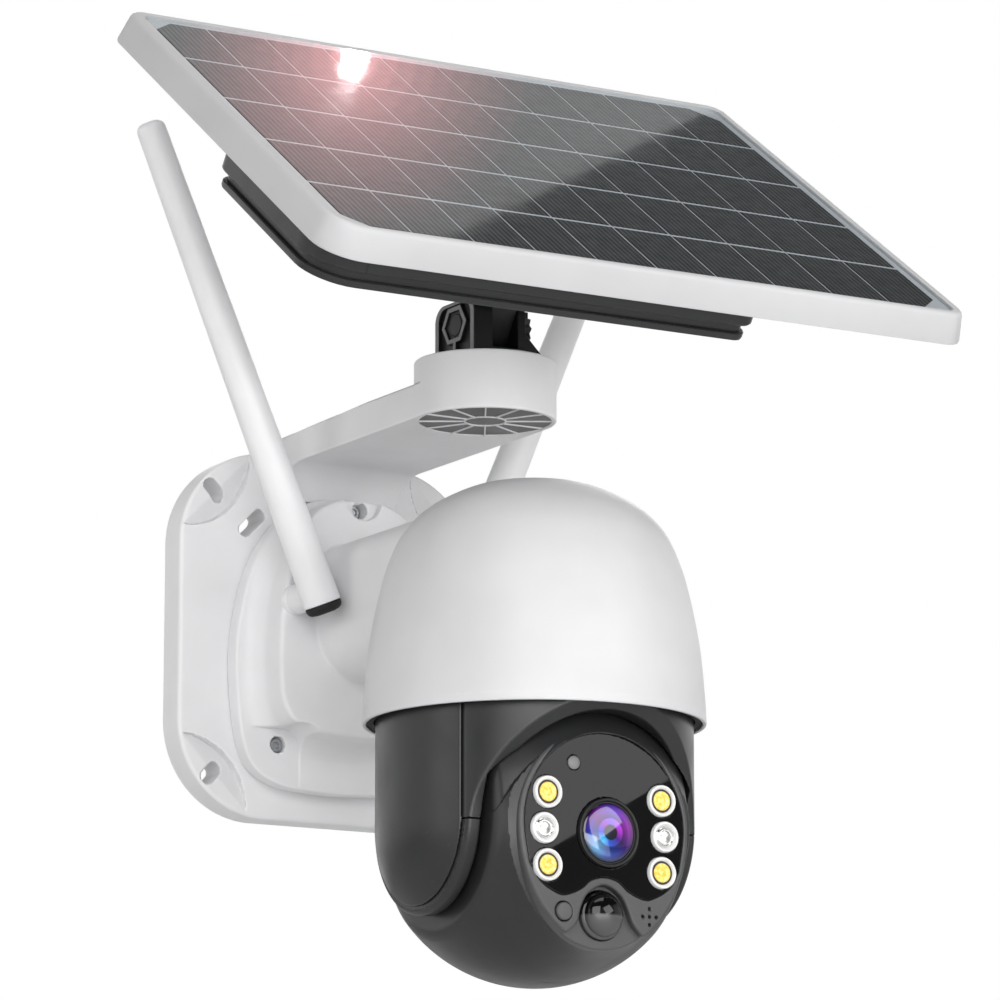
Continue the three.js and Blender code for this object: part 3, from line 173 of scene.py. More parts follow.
def make(name, points, faces, body, material, normals=None, angle=35):
    """A piece from points in mm. It rides on a body, and one called NODE_fine replaces the CAD's NODE."""
    if normals is None:
        loops = [np.array([points[i] for i in f], float) for f in faces]
        if sum((f[0] * np.cross(a, b)).sum() for f in loops for a, b in zip(f[1:], f[2:])) < 0:
            faces = [f[::-1] for f in faces]
    mesh = bpy.data.meshes.new(name)
    mesh.from_pydata([tuple(p) for p in np.array(points, float) * MM], [], faces)
    mesh.polygons.foreach_set("use_smooth", [True] * len(mesh.polygons))
    if normals is None:
        mesh.set_sharp_from_angle(angle=radians(angle))
    else:
        mesh.normals_split_custom_set_from_vertices(normals)
    mesh.materials.append(material)
    piece = bpy.data.objects.new(name, mesh)
    bpy.context.scene.collection.objects.link(piece)
    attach(piece, body)
    if name.endswith("_fine"):
        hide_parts(name.removesuffix("_fine"))


def mould(name, field, low, high, step, body, material, shade=None):
    """A piece whose surface is where its field is zero, meshed on a grid and drawn onto that surface.
    It is shaded by the slope of its field, or of the field called shade."""
    axes = [np.arange(a - 2 * step, b + 3 * step, step) for a, b in zip(low, high)]
    x, y, z = axes[0][:, None, None], axes[1][None, :, None], axes[2][None, None, :]
    values = np.broadcast_to(field(x, y, z), [len(a) for a in axes])
    band = 3 * step
    grid = openvdb.FloatGrid(band)
    grid.copyFromArray(np.ascontiguousarray(np.clip(values, -band, band), dtype=np.float32))
    at, quads = grid.convertToQuads(isovalue=0.0)
    at = at.astype(float) * step + [a[0] for a in axes]

    def slope(p, of=field):
        e = 0.04
        moved = [[of(*(p + s * e * np.eye(3)[i]).T) for s in (1, -1)] for i in range(3)]
        g = np.stack([(a - b) / (2 * e) for a, b in moved], 1)
        return g / maximum(np.linalg.norm(g, axis=1, keepdims=True), 1e-6)

    for _ in range(2):
        at -= np.clip(field(*at.T), -step / 2, step / 2)[:, None] * slope(at)
    normals = slope(at, shade or field)
    a, b, c = (at[quads[:, i]] for i in range(3))
    if ((np.cross(b - a, c - a) * normals[quads[:, 0]]).sum(1)).mean() < 0:
        quads = quads[:, ::-1]
    make(name, at, quads.tolist(), body, material, normals.tolist())


def lathe(name, profile, centre, axis, body, material, segments=64):
    """A profile of (radius, height) turned about an axis: heights run along it from the centre."""
    side = Vector(axis).normalized()
    across = side.orthogonal().normalized()
    other = side.cross(across)
    points, faces, rows = [], [], []
    for r, h in profile:
        row = []
        count = 1 if r < 1e-6 else segments
        for i in range(count):
            t = 2 * pi * i / segments
            offset = (across * cos(t) + other * sin(t)) * r + side * h
            row.append(len(points))
            points.append(Vector(centre) + offset)
        rows.append(row)
    for low, high in zip(rows, rows[1:]):
        for i in range(segments):
            k = (i + 1) % segments
            around = (low[i % len(low)], low[k % len(low)], high[k % len(high)], high[i % len(high)])
            corners = list(dict.fromkeys(around))
            if len(corners) > 2:
                faces.append(corners)
    make(name, points, faces, body, material)


def corner_loop(x0, x1, y0, y1, radii, z, steps=8):
    """A rounded rectangle at height z. The radii are of its low-left, low-right, high-right, high-left."""
    loop = []
    spots = [
        (x0, y0, 1, 1, pi), (x1, y0, -1, 1, 1.5 * pi),
        (x1, y1, -1, -1, 0), (x0, y1, 1, -1, 0.5 * pi),
    ]
    for (x, y, sx, sy, start), r in zip(spots, radii):
        for i in range(steps + 1):
            t = start + i / steps * pi / 2
            loop.append((x + sx * r + r * cos(t), y + sy * r + r * sin(t), z))
    return loop


def skin(name, loops, body, material, place, ring=False, angle=35):
    """A closed skin through loops of equal length: capped at both ends, or run back to its start."""
    count, rows = len(loops[0]), len(loops)
    points = [place @ Vector(p) for loop in loops for p in loop]
    faces = []
    for row in range(rows if ring else rows - 1):
        a, b = row * count, (row + 1) % rows * count
        for i in range(count):
            k = (i + 1) % count
            faces.append([a + i, a + k, b + k, b + i])
    if not ring:
        faces.append(list(range(count))[::-1])
        faces.append([(rows - 1) * count + i for i in range(count)])
    make(name, points, faces, body, material, angle=angle)


# -------- materials

def linear(value):
    return value / 12.92 if value <= 0.04045 else ((value + 0.055) / 1.055) ** 2.4


def tone(r, g=None, b=None):
    """A colour as it looks on a screen, from 0 to 1, as the shader's linear colour."""
    g, b = (r if g is None else g), (r if b is None else b)
    return (linear(r), linear(g), linear(b), 1.0)


def grey(value):
    """A grey, or a plain number, as a stop of a colour ramp."""
    return (value, value, value, 1.0)


class Nodes:
    """A node tree and the few nodes that looks are built from."""

    def __init__(self, tree, coordinate):
        self.tree = tree
        self.place = self.add("TexCoord").outputs[coordinate]

    def feed(self, socket, source):
        if hasattr(source, "is_linked"):
            self.tree.links.new(source, socket)
        else:
            socket.default_value = source

    def add(self, kind, links=(), **values):
        node = self.tree.nodes.new("ShaderNode" + kind)
        for key, value in values.items():
            if hasattr(node, key):
                setattr(node, key, value)
        for socket, source in dict(links).items():
            self.feed(node.inputs[socket], source)
        return node

    def noise(self, scale, detail=2.0, stretch=None):
        where = self.place
        if stretch:
            where = self.add("Mapping", {"Vector": where, "Scale": stretch}).outputs[0]
        node = self.add("TexNoise", {"Vector": where, "Scale": scale, "Detail": detail})
        return node.outputs["Fac"]

    def ramp(self, factor, stops):
        node = self.add("ValToRGB", {"Fac": factor})
        band = node.color_ramp.elements
        for i, (at, colour) in enumerate(stops):
            element = band[i] if i < len(band) else band.new(at)
            element.position = at
            element.color = colour
        return node.outputs["Color"]

    def uneven(self, scale, detail, low, high, top=0.7):
        """A roughness that wanders from low to high."""
        return self.ramp(self.noise(scale, detail), [(0.3, grey(low)), (top, grey(high))])

    def math(self, operation, a, b=0.0):
        return self.add("Math", {0: a, 1: b}, operation=operation).outputs[0]

    def mix(self, factor, a, b, blend="MIX"):
        node = self.add("Mix", data_type="RGBA", blend_type=blend)
        for socket, source in ((0, factor), (6, a), (7, b)):
            self.feed(node.inputs[socket], source)
        return node.outputs[2]


class Paint(Nodes):
    """A material. Its patterns lie in the row frame."""

    def __init__(self, name):
        self.material = bpy.data.materials.new(name)
        self.material.use_nodes = True
        super().__init__(self.material.node_tree, "Object")
        self.bsdf = self.tree.nodes["Principled BSDF"]

    def set(self, **values):
        for key, value in values.items():
            self.feed(self.bsdf.inputs[key.replace("_", " ")], value)

    def bump(self, height, strength, distance):
        node = self.add("Bump", {"Height": height, "Strength": strength, "Distance": distance})
        self.tree.links.new(node.outputs[0], self.bsdf.inputs["Normal"])


def scaled(colour, share):
    return tuple(min(1, c * share) for c in colour[:3]) + (1.0,)


def moulded(name, colour, rough, grain=1600, bump=0.12, edge=1.12):
    """Moulded plastic: slow colour drift, fine grain, a painted highlight on its sharp edges and uneven gloss."""
    p = Paint(name)
    spread, grain_deep = 0.05, 0.00012
    body = p.ramp(p.noise(22, 3), [(0.3, scaled(colour, 1 - spread)), (0.7, scaled(colour, 1 + spread))])
    # painted highlight: sharp convex edges, found by pointiness, are painted lighter by the factor edge
    point = p.add("NewGeometry").outputs["Pointiness"]
    edge_highlight = p.ramp(point, [(0.52, grey(0)), (0.6, grey(1))])
    p.set(Base_Color=p.mix(edge_highlight, body, scaled(colour, edge)))
    p.set(Roughness=p.uneven(60, 4, rough - 0.05, rough + 0.06), Specular_IOR_Level=0.5)
    p.bump(p.noise(grain, 2), bump, grain_deep)
    return p.material


def metal(name, colour, rough, stretch=(1, 1, 14)):
    """Brushed or turned metal: its lines are duller and rougher than what lies between them."""
    p = Paint(name)
    lines = p.noise(420, 3, stretch)
    p.set(Base_Color=p.ramp(lines, [(0.3, scaled(colour, 0.8)), (0.7, colour)]), Metallic=1.0)
    p.set(Roughness=p.ramp(lines, [(0.3, grey(rough + 0.1)), (0.7, grey(rough))]))
    p.bump(lines, 0.1, 0.00005)
    return p.material


def window_black():
    """The face's window, black behind and glossy as glass."""
    p = Paint("window_black")
    film = p.ramp(p.noise(30, 3), [(0.3, tone(0.015)), (0.7, tone(0.03))])
    p.set(Base_Color=film, Roughness=p.uneven(80, 5, 0.01, 0.03, 0.8), Specular_IOR_Level=0.28)
    return p.material


def pane_glass():
    """Clear cover glass that reflects on its outer side alone."""
    p = Paint("pane_glass")
    clear = p.add("BsdfTransparent", {"Color": (0.93, 0.95, 0.96, 1)}).outputs[0]
    haze = p.uneven(90, 4, 0.02, 0.07, 0.8)
    gloss = p.add("BsdfGlossy", {"Color": grey(1), "Roughness": haze}).outputs[0]
    outside = p.math("SUBTRACT", 1.0, p.add("NewGeometry").outputs["Backfacing"])
    share = p.math("MULTIPLY", p.add("Fresnel", {"IOR": 1.45}).outputs[0], outside)
    both = p.add("MixShader", {0: share, 1: clear, 2: gloss}).outputs[0]
    out = next(n for n in p.tree.nodes if n.type == "OUTPUT_MATERIAL")
    p.tree.links.new(both, out.inputs[0])
    p.tree.nodes.remove(p.bsdf)
    return p.material


def cell_silicon():
    """Black silicon with fine silver fingers along the slope, about 2 mm apart."""
    p = Paint("cell_silicon")
    x = p.add("SeparateXYZ", {0: p.place}).outputs[0]
    phase = p.math("FRACT", p.math("MULTIPLY", x, 1 / FINGER_PITCH))
    wave = p.math("ABSOLUTE", p.math("SUBTRACT", phase, 0.5))
    finger = p.ramp(wave, [(0.30, grey(0)), (0.42, grey(1))])
    wafer = p.ramp(p.noise(14, 3), [(0.3, tone(0.03, 0.03, 0.034)), (0.7, tone(0.05, 0.05, 0.056))])
    p.set(Base_Color=p.mix(finger, wafer, tone(0.42)), Specular_IOR_Level=0.3)
    p.set(Roughness=p.uneven(200, 4, 0.3, 0.42))
    return p.material


def lens_with_painted_reflection():
    """The violet and blue of a coated lens as a painted reflection, in rings and sectors round its own axis, with
    a painted glow from emission.
    """
    p = Paint("lens_with_painted_reflection")
    centre = (-LENS_X * MM, 0, -LENS_Z * MM)
    moved = p.add("Mapping", {"Vector": p.place, "Location": centre}).outputs[0]
    split = p.add("SeparateXYZ", {0: moved}).outputs
    angle = p.math("ARCTAN2", split[2], split[0])
    turn = p.math("ADD", p.math("MULTIPLY", angle, 0.5 / pi), 0.5)
    flat = p.add("CombineXYZ", {0: split[0], 2: split[2]}).outputs[0]
    radius = p.add("VectorMath", {0: flat}, operation="LENGTH").outputs["Value"]
    share = p.math("DIVIDE", radius, LENS_R * MM)
    painted_reflection_hues = p.ramp(turn, [
        (0.0, tone(0.05, 0.12, 0.72)), (0.12, tone(0.12, 0.62, 0.86)), (0.22, tone(0.1, 0.3, 0.7)),
        (0.4, tone(0.22, 0.08, 0.45)), (0.55, tone(0.62, 0.16, 0.72)), (0.72, tone(0.45, 0.3, 0.85)),
        (0.88, tone(0.5, 0.12, 0.62)), (1.0, tone(0.05, 0.12, 0.72)),
    ])
    # painted reflection: bright and dark rings across the lens
    rings = p.ramp(share, [
        (0.0, grey(0.05)), (0.24, grey(0.03)), (0.28, grey(0.8)), (0.44, grey(1)), (0.5, grey(0.25)),
        (0.74, grey(0.55)), (0.9, grey(0.3)), (0.97, grey(0.02)),
    ])
    lens_reflection_paint = p.mix(1.0, painted_reflection_hues, rings, "MULTIPLY")
    p.set(Base_Color=lens_reflection_paint, Roughness=0.06, Coat_Weight=1.0, Coat_Roughness=0.02)
    # painted glow: the lens emits its painted colours though it is no lamp
    p.set(Emission_Color=lens_reflection_paint, Emission_Strength=0.35)
    return p.material


def phosphor():
    p = Paint("led_phosphor")
    spots = p.ramp(p.noise(900, 3), [
        (0.3, tone(0.93, 0.74, 0.2)), (0.55, tone(0.98, 0.85, 0.36)), (0.75, tone(0.99, 0.94, 0.7)),
    ])
    p.set(Base_Color=spots, Roughness=0.25, Coat_Weight=0.8, Coat_Roughness=0.05)
    return p.material


def pir_smoke_painted_reflection():
    """Smoked dome: gloss black above its middle; below it a lighter grey, painted as its reflection of the pale
    floor, and rougher.
    """
    p = Paint("pir_smoke_painted_reflection")
    z = p.add("SeparateXYZ", {0: p.place}).outputs[2]
    start, end = (PIR_Z - 0.6) * MM, (PIR_Z + 0.2) * MM
    high = p.add("MapRange", {0: z, 1: start, 2: end, 3: 0.0, 4: 1.0}).outputs[0]
    # painted reflection: the lower half is painted light grey where the dome mirrors the floor
    p.set(Base_Color=p.ramp(high, [(0.0, tone(0.3)), (1.0, tone(0.04))]))
    p.set(Roughness=p.ramp(high, [(0.0, grey(0.3)), (1.0, grey(0.06))]))
    p.bump(p.noise(700, 2), 0.05, 0.0001)
    return p.material


LENS_X, LENS_Z, LENS_R, PIR_Z = 1.2, -94.4, 10.2, -122.3
CELL_WIDTH, CELLS_ACROSS, CELLS_UP = 24.0, 10, 5
FINGER_PITCH = CELL_WIDTH * MM / 11

LIGHT = moulded("light_plastic", tone(0.89, 0.89, 0.895), 0.48, edge=1.05)
WHITE = moulded("white_plastic", tone(0.8, 0.8, 0.805), 0.42, bump=0.06, edge=1.04)
FRAME = moulded("frame_plastic", tone(0.75, 0.75, 0.755), 0.42, bump=0.06, edge=1.04)
BRIGHT = moulded("antenna_plastic", tone(0.93, 0.93, 0.935), 0.36, bump=0.06, edge=1.02)
DARK = moulded("dark_plastic", tone(0.14, 0.142, 0.146), 0.34, bump=0.1, edge=1.5)
BEZEL = moulded("bezel_plastic", tone(0.275, 0.275, 0.28), 0.42, bump=0.1, edge=1.4)
BLACK = moulded("black_plastic", tone(0.07), 0.5, edge=2.2)
# grey: the painted highlight on the bracket's ribs, and the light sensor's own colour
RIB = moulded("rib_highlight_and_sensor_grey", tone(0.48), 0.5)
PEARL = moulded("led_pearl", tone(0.86), 0.22, bump=0.02)
RUBBER = moulded("black_rubber", tone(0.06), 0.75, grain=900, bump=0.25, edge=1.8)
NYLON = moulded("nylon", tone(0.9, 0.88, 0.8), 0.5)
BOARD = moulded("circuit_board", tone(0.1, 0.36, 0.18), 0.4)
WRAP = moulded("battery_wrap", tone(0.2, 0.42, 0.64), 0.3)
STEEL = metal("screw_steel", tone(0.75, 0.76, 0.77), 0.3)
CAN = metal("motor_can", tone(0.68, 0.69, 0.7), 0.36)
SILVER = metal("led_silver", tone(0.93, 0.93, 0.92), 0.16, (1, 1, 1))
WINDOW = window_black()
PANE = pane_glass()
SILICON = cell_silicon()
LENS = lens_with_painted_reflection()
PHOSPHOR = phosphor()
SMOKE = pir_smoke_painted_reflection()

SLOT_PAINT = {
    "light_housing": LIGHT, "white_housing": WHITE, "dark_housing": DARK, "bezel": BEZEL,
    "black_plastic": BLACK, "black_glass": WINDOW, "black_rubber": RUBBER, "gear_nylon": NYLON,
    "screw_steel": STEEL, "motor_can": CAN, "circuit_board": BOARD, "cells": SILICON, "panel_glass": PANE,
    "battery_wrap": WRAP, "lens_glass": LENS, "led_reflector": SILVER, "pir_window": SMOKE,
}


def paint_frame():
    """Every CAD node that stays gets the material of its slot."""
    slots = {s["node"]: s["material_slot"] for s in frame["record"]["subparts"]}
    for name, node in frame["nodes"].items():
        node.data.materials.clear()
        node.data.materials.append(SLOT_PAINT[slots[name]])
        node.data.set_sharp_from_angle(angle=radians(30))


# -------- wall plate

def wall_plate():
    """A tray with ribs and posts behind, scooped out towards its corner slots."""
    half_x, half_z = PLATE_HALF
    corner, wall, rib_half, post = 36, 3, 1.2, 6.5
    corner_slot, side_slot = (49, 53), (33.3, 42)
    scoop_x, scoop_z, scoop_r, scoop_back, lean = 61, 65.3, 26.2, 17.8, radians(26)
    posts_at = ((0, 46.2), (25.6, -42), (ARM_SCREW_X, ARM_SCREW_Z))

    def field(x, y, z):
        u, w = abs(x), abs(z)
        body = meet(rounded(x, z, half_x, half_z, corner), within(y, PLATE_FRONT, 0), 1.5)
        tray = rounded(x, z, half_x - wall, half_z - wall, corner - wall)
        tray = maximum(tray, within(y, PLATE_FRONT + wall, 5))
        ribs = minimum(u - rib_half, w - rib_half)
        posts = minimum(disc(u, w, *corner_slot, 14), disc(x, z, 0, 0, 16))
        posts = minimum(posts, disc(u, z, *side_slot, 9.5))
        for px, pz in posts_at:
            posts = minimum(posts, disc(u, z, px, pz, post))
        body = cut(body, maximum(tray, -minimum(ribs, posts)), 0.4)
        inward = -(u - scoop_x + w - scoop_z) * sqrt(0.5)
        floor = (y - PLATE_FRONT - (inward - scoop_back) * tan(lean)) * cos(lean)
        body = cut(body, maximum(disc(u, w, scoop_x, scoop_z, scoop_r), floor), 0.25)
        body = cut(body, capsule(u - corner_slot[0], w - corner_slot[1], 2.2, 2.8, pi / 4), 0.3)
        body = cut(body, capsule(u - side_slot[0], z - side_slot[1], 4, 2.5, -pi / 4), 0.3)
        screw_head = maximum(disc(u, z, ARM_SCREW_X, ARM_SCREW_Z, 3.9), within(y, -5, 5))
        return cut(body, screw_head, 0.3)

    mould("wall_plate_fine", field, (-half_x, PLATE_FRONT, -half_z), (half_x, 0, half_z), 0.7,
          "base", LIGHT)


# -------- rear housing and neck

STEP_SIDE = [
    (0, -58.7), (14, -58.2), (24.5, -56.8), (33.6, -52.4), (38.4, -46), (41.4, -35), (43.2, -18),
    (43, -3), (41, 10), (37.2, 23), (31, 34), (22, 43.5), (11, 49.2), (0, 50.9),
]
FACE_SIDE = [
    (0, -39.8), (12, -39.5), (22, -38.2), (28.6, -35.4), (32.6, -30), (34.3, -22), (34.6, -8),
    (33.8, 6), (31.2, 20), (26.6, 33), (19.5, 43.5), (10, 48.6), (0, 49.6),
]
DOME_SIDE = [
    (60, RIM_Z), (59.5, -42.5), (57.9, -25), (54.5, -7), (51.1, 5), (46, 15.6), (37, 24.6), (23, 31.6),
    (12, 33.5), (0, DOME_TOP),
]
SPLINE_STEPS = 10


def mirrored(points):
    return [(-p[0], p[1]) for p in points]


step_outline, face_outline = (
    Outline(spline([*side, *mirrored(side[-2:0:-1])], SPLINE_STEPS, closed=True))
    for side in (STEP_SIDE, FACE_SIDE)
)
dome_curve = spline([*DOME_SIDE, (-12, 33.5)], SPLINE_STEPS)[:-SPLINE_STEPS]
dome_outline = Outline([*mirrored(dome_curve[::-1]), *dome_curve])
dome_tall = Outline([(-60, -80), *mirrored(dome_curve), *dome_curve[::-1], (60, -80)])


def neck_field(x, z, grow=0.0):
    middle, half = (NECK_TOP - NECK_HALF) / 2, (NECK_TOP + NECK_HALF) / 2
    corner = np.where(z > middle, 10.0, NECK_HALF)
    return rounded(x, z - middle, NECK_HALF, half, corner) - grow


def housing_body(x, y, z, back):
    step = meet(step_outline(x, z), within(y, STEP_Y, back), 1.1)
    face = meet(face_outline(x, z), within(y, FACE_Y, back), 1.6)
    neck = maximum(neck_field(x, z), within(y, PAN_Y, back))
    return join(join(step, face, 8), neck, 1.2)


def rear_housing():
    """The stepped housing and its neck, hollow, with wells for the screws and a pocket in its foot."""
    wall, well_r, hole_r = 2.5, 5.2, 3.1

    def field(x, y, z):
        outer = housing_body(x, y, z, PLATE_FRONT - 0.1)
        pocket = maximum(meet(16.9 - abs(x), z + 36, 7), y - STEP_Y)
        notch = maximum(disc(x, z, 0, 49.5, 7.6), y + 36.5)
        outer = cut(cut(outer, pocket, 0.5), notch, 0.4)
        inner = housing_body(x, y, z, 20) + wall
        inner = cut(cut(inner, pocket - wall, 0.5), notch - wall, 0.5)
        for _, px, pz, _ in SCREWS:
            inner = cut(inner, disc(x, z, px, pz, well_r), 0.4)
        body = cut(outer, inner, 0.4)
        for _, px, pz, seat in SCREWS:
            body = cut(body, maximum(disc(x, z, px, pz, hole_r), y - seat), 0.3)
        dome = dome_outline(hypot(x, y - PAN_Y), z)
        return maximum(body, -(dome + 1.2))

    mould("rear_housing_fine", field, (-44, -150, -59), (44, PLATE_FRONT, 51), 0.75,
          "base", LIGHT)


def housing_screws():
    head = [(0, 0.1), (2.7, 0.1), (2.7, 1.5), (2.2, 2.0), (1.3, 2.0), (1.1, 1.2), (0, 1.2)]
    for name, x, z, seat in SCREWS:
        lathe(f"housing_screw_{name}_fine", head, (x, seat, z), TO_FRONT, "base", STEEL, 32)


def dome_cover():
    """The dome down to 2 mm over its rim, the turned lip that ends it, and the seal inside."""
    def field(x, y, z):
        r = hypot(x, y - PAN_Y)
        outer = maximum(dome_outline(r, z), RIM_Z + 2 - z)
        shell = maximum(outer, -(dome_tall(r, z) + DOME_WALL))
        opening = maximum(neck_field(x, z, 0.25), within(y, PAN_Y, 0))
        return maximum(shell, -opening)

    mould("dome_cover_fine", field, (-60, PAN_Y - 60, RIM_Z), (60, PAN_Y + 60, DOME_TOP), 0.9,
          "base", WHITE)
    lip = [
        (59.8, 3.8), (59.93, 1.8), (60.0, 0.7), (59.93, 0.3), (59.75, 0.06), (59.5, 0), (58.9, 0),
        (58.65, 0.15), (58.6, 0.4), (58.6, 3.8), (59.8, 3.8),
    ]
    lathe("dome_rim_lip", lip, (0, PAN_Y, RIM_Z), UPWARD, "base", WHITE, 256)
    seal = [
        (56.0, 0.9), (58.3, 0.9), (58.5, 1.1), (58.5, 1.9), (57.5, 1.9), (57.5, 5.6), (56.0, 5.6),
        (56.0, 0.9),
    ]
    lathe("rim_seal_fine", seal, (0, PAN_Y, RIM_Z), UPWARD, "base", RUBBER, 256)


# -------- yoke

YOKE_TOP = -29
EAR_PIN = 6.0                      # radius of the head's trunnions
EAR_INNER, COVER_INNER = 30, 46    # how far out the ear caps and the side covers start
YOKE_SIDE = [(0, YOKE_TOP), (38, YOKE_TOP), (50, -40), (YOKE_R, -47)]
yoke_profile = YOKE_SIDE + [
    (YOKE_R * cos(t), BALL_Z - YOKE_R * sin(t)) for t in linspace(0, pi / 2, 60)
]
yoke_outline = Outline([*yoke_profile, *mirrored(yoke_profile[::-1])])


def yoke_skin(x, y, z):
    return yoke_outline(hypot(x, y - PAN_Y), z)


def ear_outline(y, z, r):
    v = y - PAN_Y
    return np.where(z > BALL_Z, abs(v), hypot(v, z - BALL_Z)) - r


def arch_field(x, z):
    """The fork's opening seen from the front: straight sides under a half circle."""
    return np.where(z > ARCH_Z, hypot(x, z - ARCH_Z), abs(x)) - ARCH_R


def sphere_field(x, y, z, r):
    return np.sqrt(x ** 2 + (y - PAN_Y) ** 2 + (z - BALL_Z) ** 2) - r


def fork_field(x, y, z):
    """The yoke's shell and both ears in one, with the chamfer round the opening."""
    u = abs(x)
    outer, arch = yoke_skin(x, y, z), arch_field(x, z)
    band, slant, ball_gap, inner_half = 3.6, 0.8, 0.8, 40.4
    chamfer = (outer - arch * slant + band) / math.hypot(1, slant)
    body = meet(meet(outer, -arch, 0.5), chamfer, 0.5)
    body = cut(body, maximum(sphere_field(x, y, z, BALL_R) - ball_gap, u - inner_half), 0.3)
    pocket = maximum(ear_outline(y, z, COVER_R + 0.45), COVER_INNER - u)
    body = cut(body, pocket, 0.55)
    return cut(body, disc(y, z, PAN_Y, BALL_Z, EAR_PIN + 0.4), 0.2)


def yoke():
    """The shell down to the ears' seam, the ear caps under it, and the round-ended side covers."""
    front, back, bottom = PAN_Y - YOKE_R, PAN_Y + YOKE_R, BALL_Z - 38.5
    seam_half, cover_top, cover_wall = 0.18, -50, 2.5
    coarse, fine = 0.6, 0.45

    def upper(x, y, z):
        body = cut(fork_field(x, y, z), disc(x, y, 0, PAN_Y, 6), 0.2)
        return maximum(body, SEAM_Z + seam_half - z)

    mould("yoke_shell_fine", upper, (-YOKE_R, front, SEAM_Z), (YOKE_R, back, YOKE_TOP), coarse,
          "yoke", DARK)
    for side, word in SIDES:
        def lower(x, y, z, side=side):
            under_seam = maximum(fork_field(x, y, z), z - SEAM_Z + seam_half)
            return maximum(under_seam, EAR_INNER - side * x)

        ends = sorted((side * EAR_INNER, side * YOKE_R))
        mould(f"ear_cap_{word}_fine", lower, (ends[0], front, bottom), (ends[1], back, SEAM_Z), fine,
              "yoke", DARK)

        def cover(x, y, z, side=side):
            outer = yoke_skin(x, y, z) + 0.12
            plug = meet(meet(outer, ear_outline(y, z, COVER_R - 0.75), 0.6), z - cover_top, 0.2)
            return maximum(maximum(plug, -(outer + cover_wall)), COVER_INNER + 0.2 - side * x)

        ends = sorted((side * COVER_INNER, side * YOKE_R))
        low, high = (ends[0], PAN_Y - 30, BALL_Z - 30), (ends[1], PAN_Y + 30, cover_top)
        mould(f"side_cover_{word}_fine", cover, low, high, fine,
              "yoke", DARK)


# -------- head

OVAL_Z, OVAL_HALF, OVAL_DOWN = -92.0, 33.6, 42.0
WINDOW_R, WINDOW_END = 31.8, radians(-9)
SPLIT_Y = PAN_Y - 10
SEAT_Y = FRONT + 6                 # the shelf in the front shell behind the bezel


def oval_points(count=120):
    """The face's edge: a half circle above and a longer half ellipse below."""
    out = []
    for t in linspace(0, 2 * pi, count, endpoint=False):
        reach = OVAL_DOWN if sin(t) < 0 else OVAL_HALF
        out.append((OVAL_HALF * cos(t), OVAL_Z + reach * sin(t)))
    return out


BELL = spline([
    (-24, -138), (-19, -131.5), (-14.2, -128.6), (-10.8, -125.4), (-8.9, -119.5), (-6, -115.1), (0, -112.3),
    (6, -115.1), (8.9, -119.5), (11.2, -124.6), (15, -128.6), (20, -131.5), (25, -138),
], SPLINE_STEPS)
WAVE_HALF = [
    (-29.8, -106.2), (-25.6, -112.3), (-19.4, -115.9), (-15.2, -116.4), (-9.4, -114.2), (-5.2, -111),
    (0, -109.8),
]
WAVE = spline([*WAVE_HALF, *mirrored(WAVE_HALF[-2::-1])], SPLINE_STEPS)
oval = Outline(oval_points())
bell = Outline([*BELL, (25, -145), (-24, -145)])
window_top = [
    (WINDOW_R * cos(t), OVAL_Z + WINDOW_R * sin(t))
    for t in linspace(WINDOW_END, pi - WINDOW_END, 60)
]
window = Outline([*WAVE, *window_top])
LEDS = [
    (f"{kind}_{row}{word}", side * x, z, r, kind == "white_led")
    for side, word in SIDES
    for kind, row, x, z, r in (
        ("white_led", "upper_", 22.65, -82, 5.5), ("white_led", "lower_", 22.65, -106.7, 5.5),
        ("infrared_led", "", 23.9, -94.3, 5.3))
]
SENSOR, BUTTON, MIC = (-12.2, -71.3, 2.35), (-16.3, -122, 3.1), (17.8, -122, 2.7)
MIC_HOLE, BARREL_R = 0.6, 11.9
SUNK = -5.4                        # how deep the small round pieces reach behind the face


def ball_field(x, y, z, r=BALL_R, half=BALL_HALF):
    return meet(sphere_field(x, y, z, r), abs(x) - half, 2.0)


def head_shell():
    """The ball with its flat sides, the trunnions and the collar that swells out round the face.
    What stands out of the ball stays inside the arch while the head looks up."""
    wall, collar_back, swell_r, pin_end = 2.5, -186, 7, 44
    arch_gap, swept_gap, seat_inset, lap = 0.4, 0.6, 2.2, 0.5

    def body(x, y, z):
        ball = ball_field(x, y, z)
        collar = maximum(oval(x, z) + 0.25, within(y, SEAT_Y + 0.2, collar_back))
        raised = BALL_Z + (z - BALL_Z) * cos(LOOK_UP) - (y - PAN_Y) * sin(LOOK_UP)
        under_arch = arch_field(x, raised) + arch_gap
        swell = maximum(join(ball, collar, swell_r), minimum(ball, under_arch))
        swept = disc(y, z, PAN_Y, BALL_Z, BALL_R) - swept_gap
        solid = np.where(z > BALL_Z, maximum(swell, swept), swell)
        pin = maximum(disc(y, z, PAN_Y, BALL_Z, EAR_PIN), abs(x) - pin_end)
        solid = maximum(join(solid, pin, 0.3), -(ball + wall))
        return maximum(solid, -maximum(oval(x, z) + seat_inset, y - SEAT_Y))

    def front(x, y, z):
        return maximum(body(x, y, z), y - SPLIT_Y)

    def rear(x, y, z):
        return maximum(body(x, y, z), SPLIT_Y - lap - y)

    low, high = (PAN_Y - BALL_R, BALL_Z - BALL_R), (PAN_Y + BALL_R, BALL_Z + BALL_R)
    mould("head_front_shell_fine", front, (-39, *low), (39, SPLIT_Y, high[1]), 0.6,
          "head", DARK, shade=body)
    mould("head_rear_shell_fine", rear, (-45, SPLIT_Y, low[1]), (45, *high), 0.9,
          "head", DARK, shade=body)


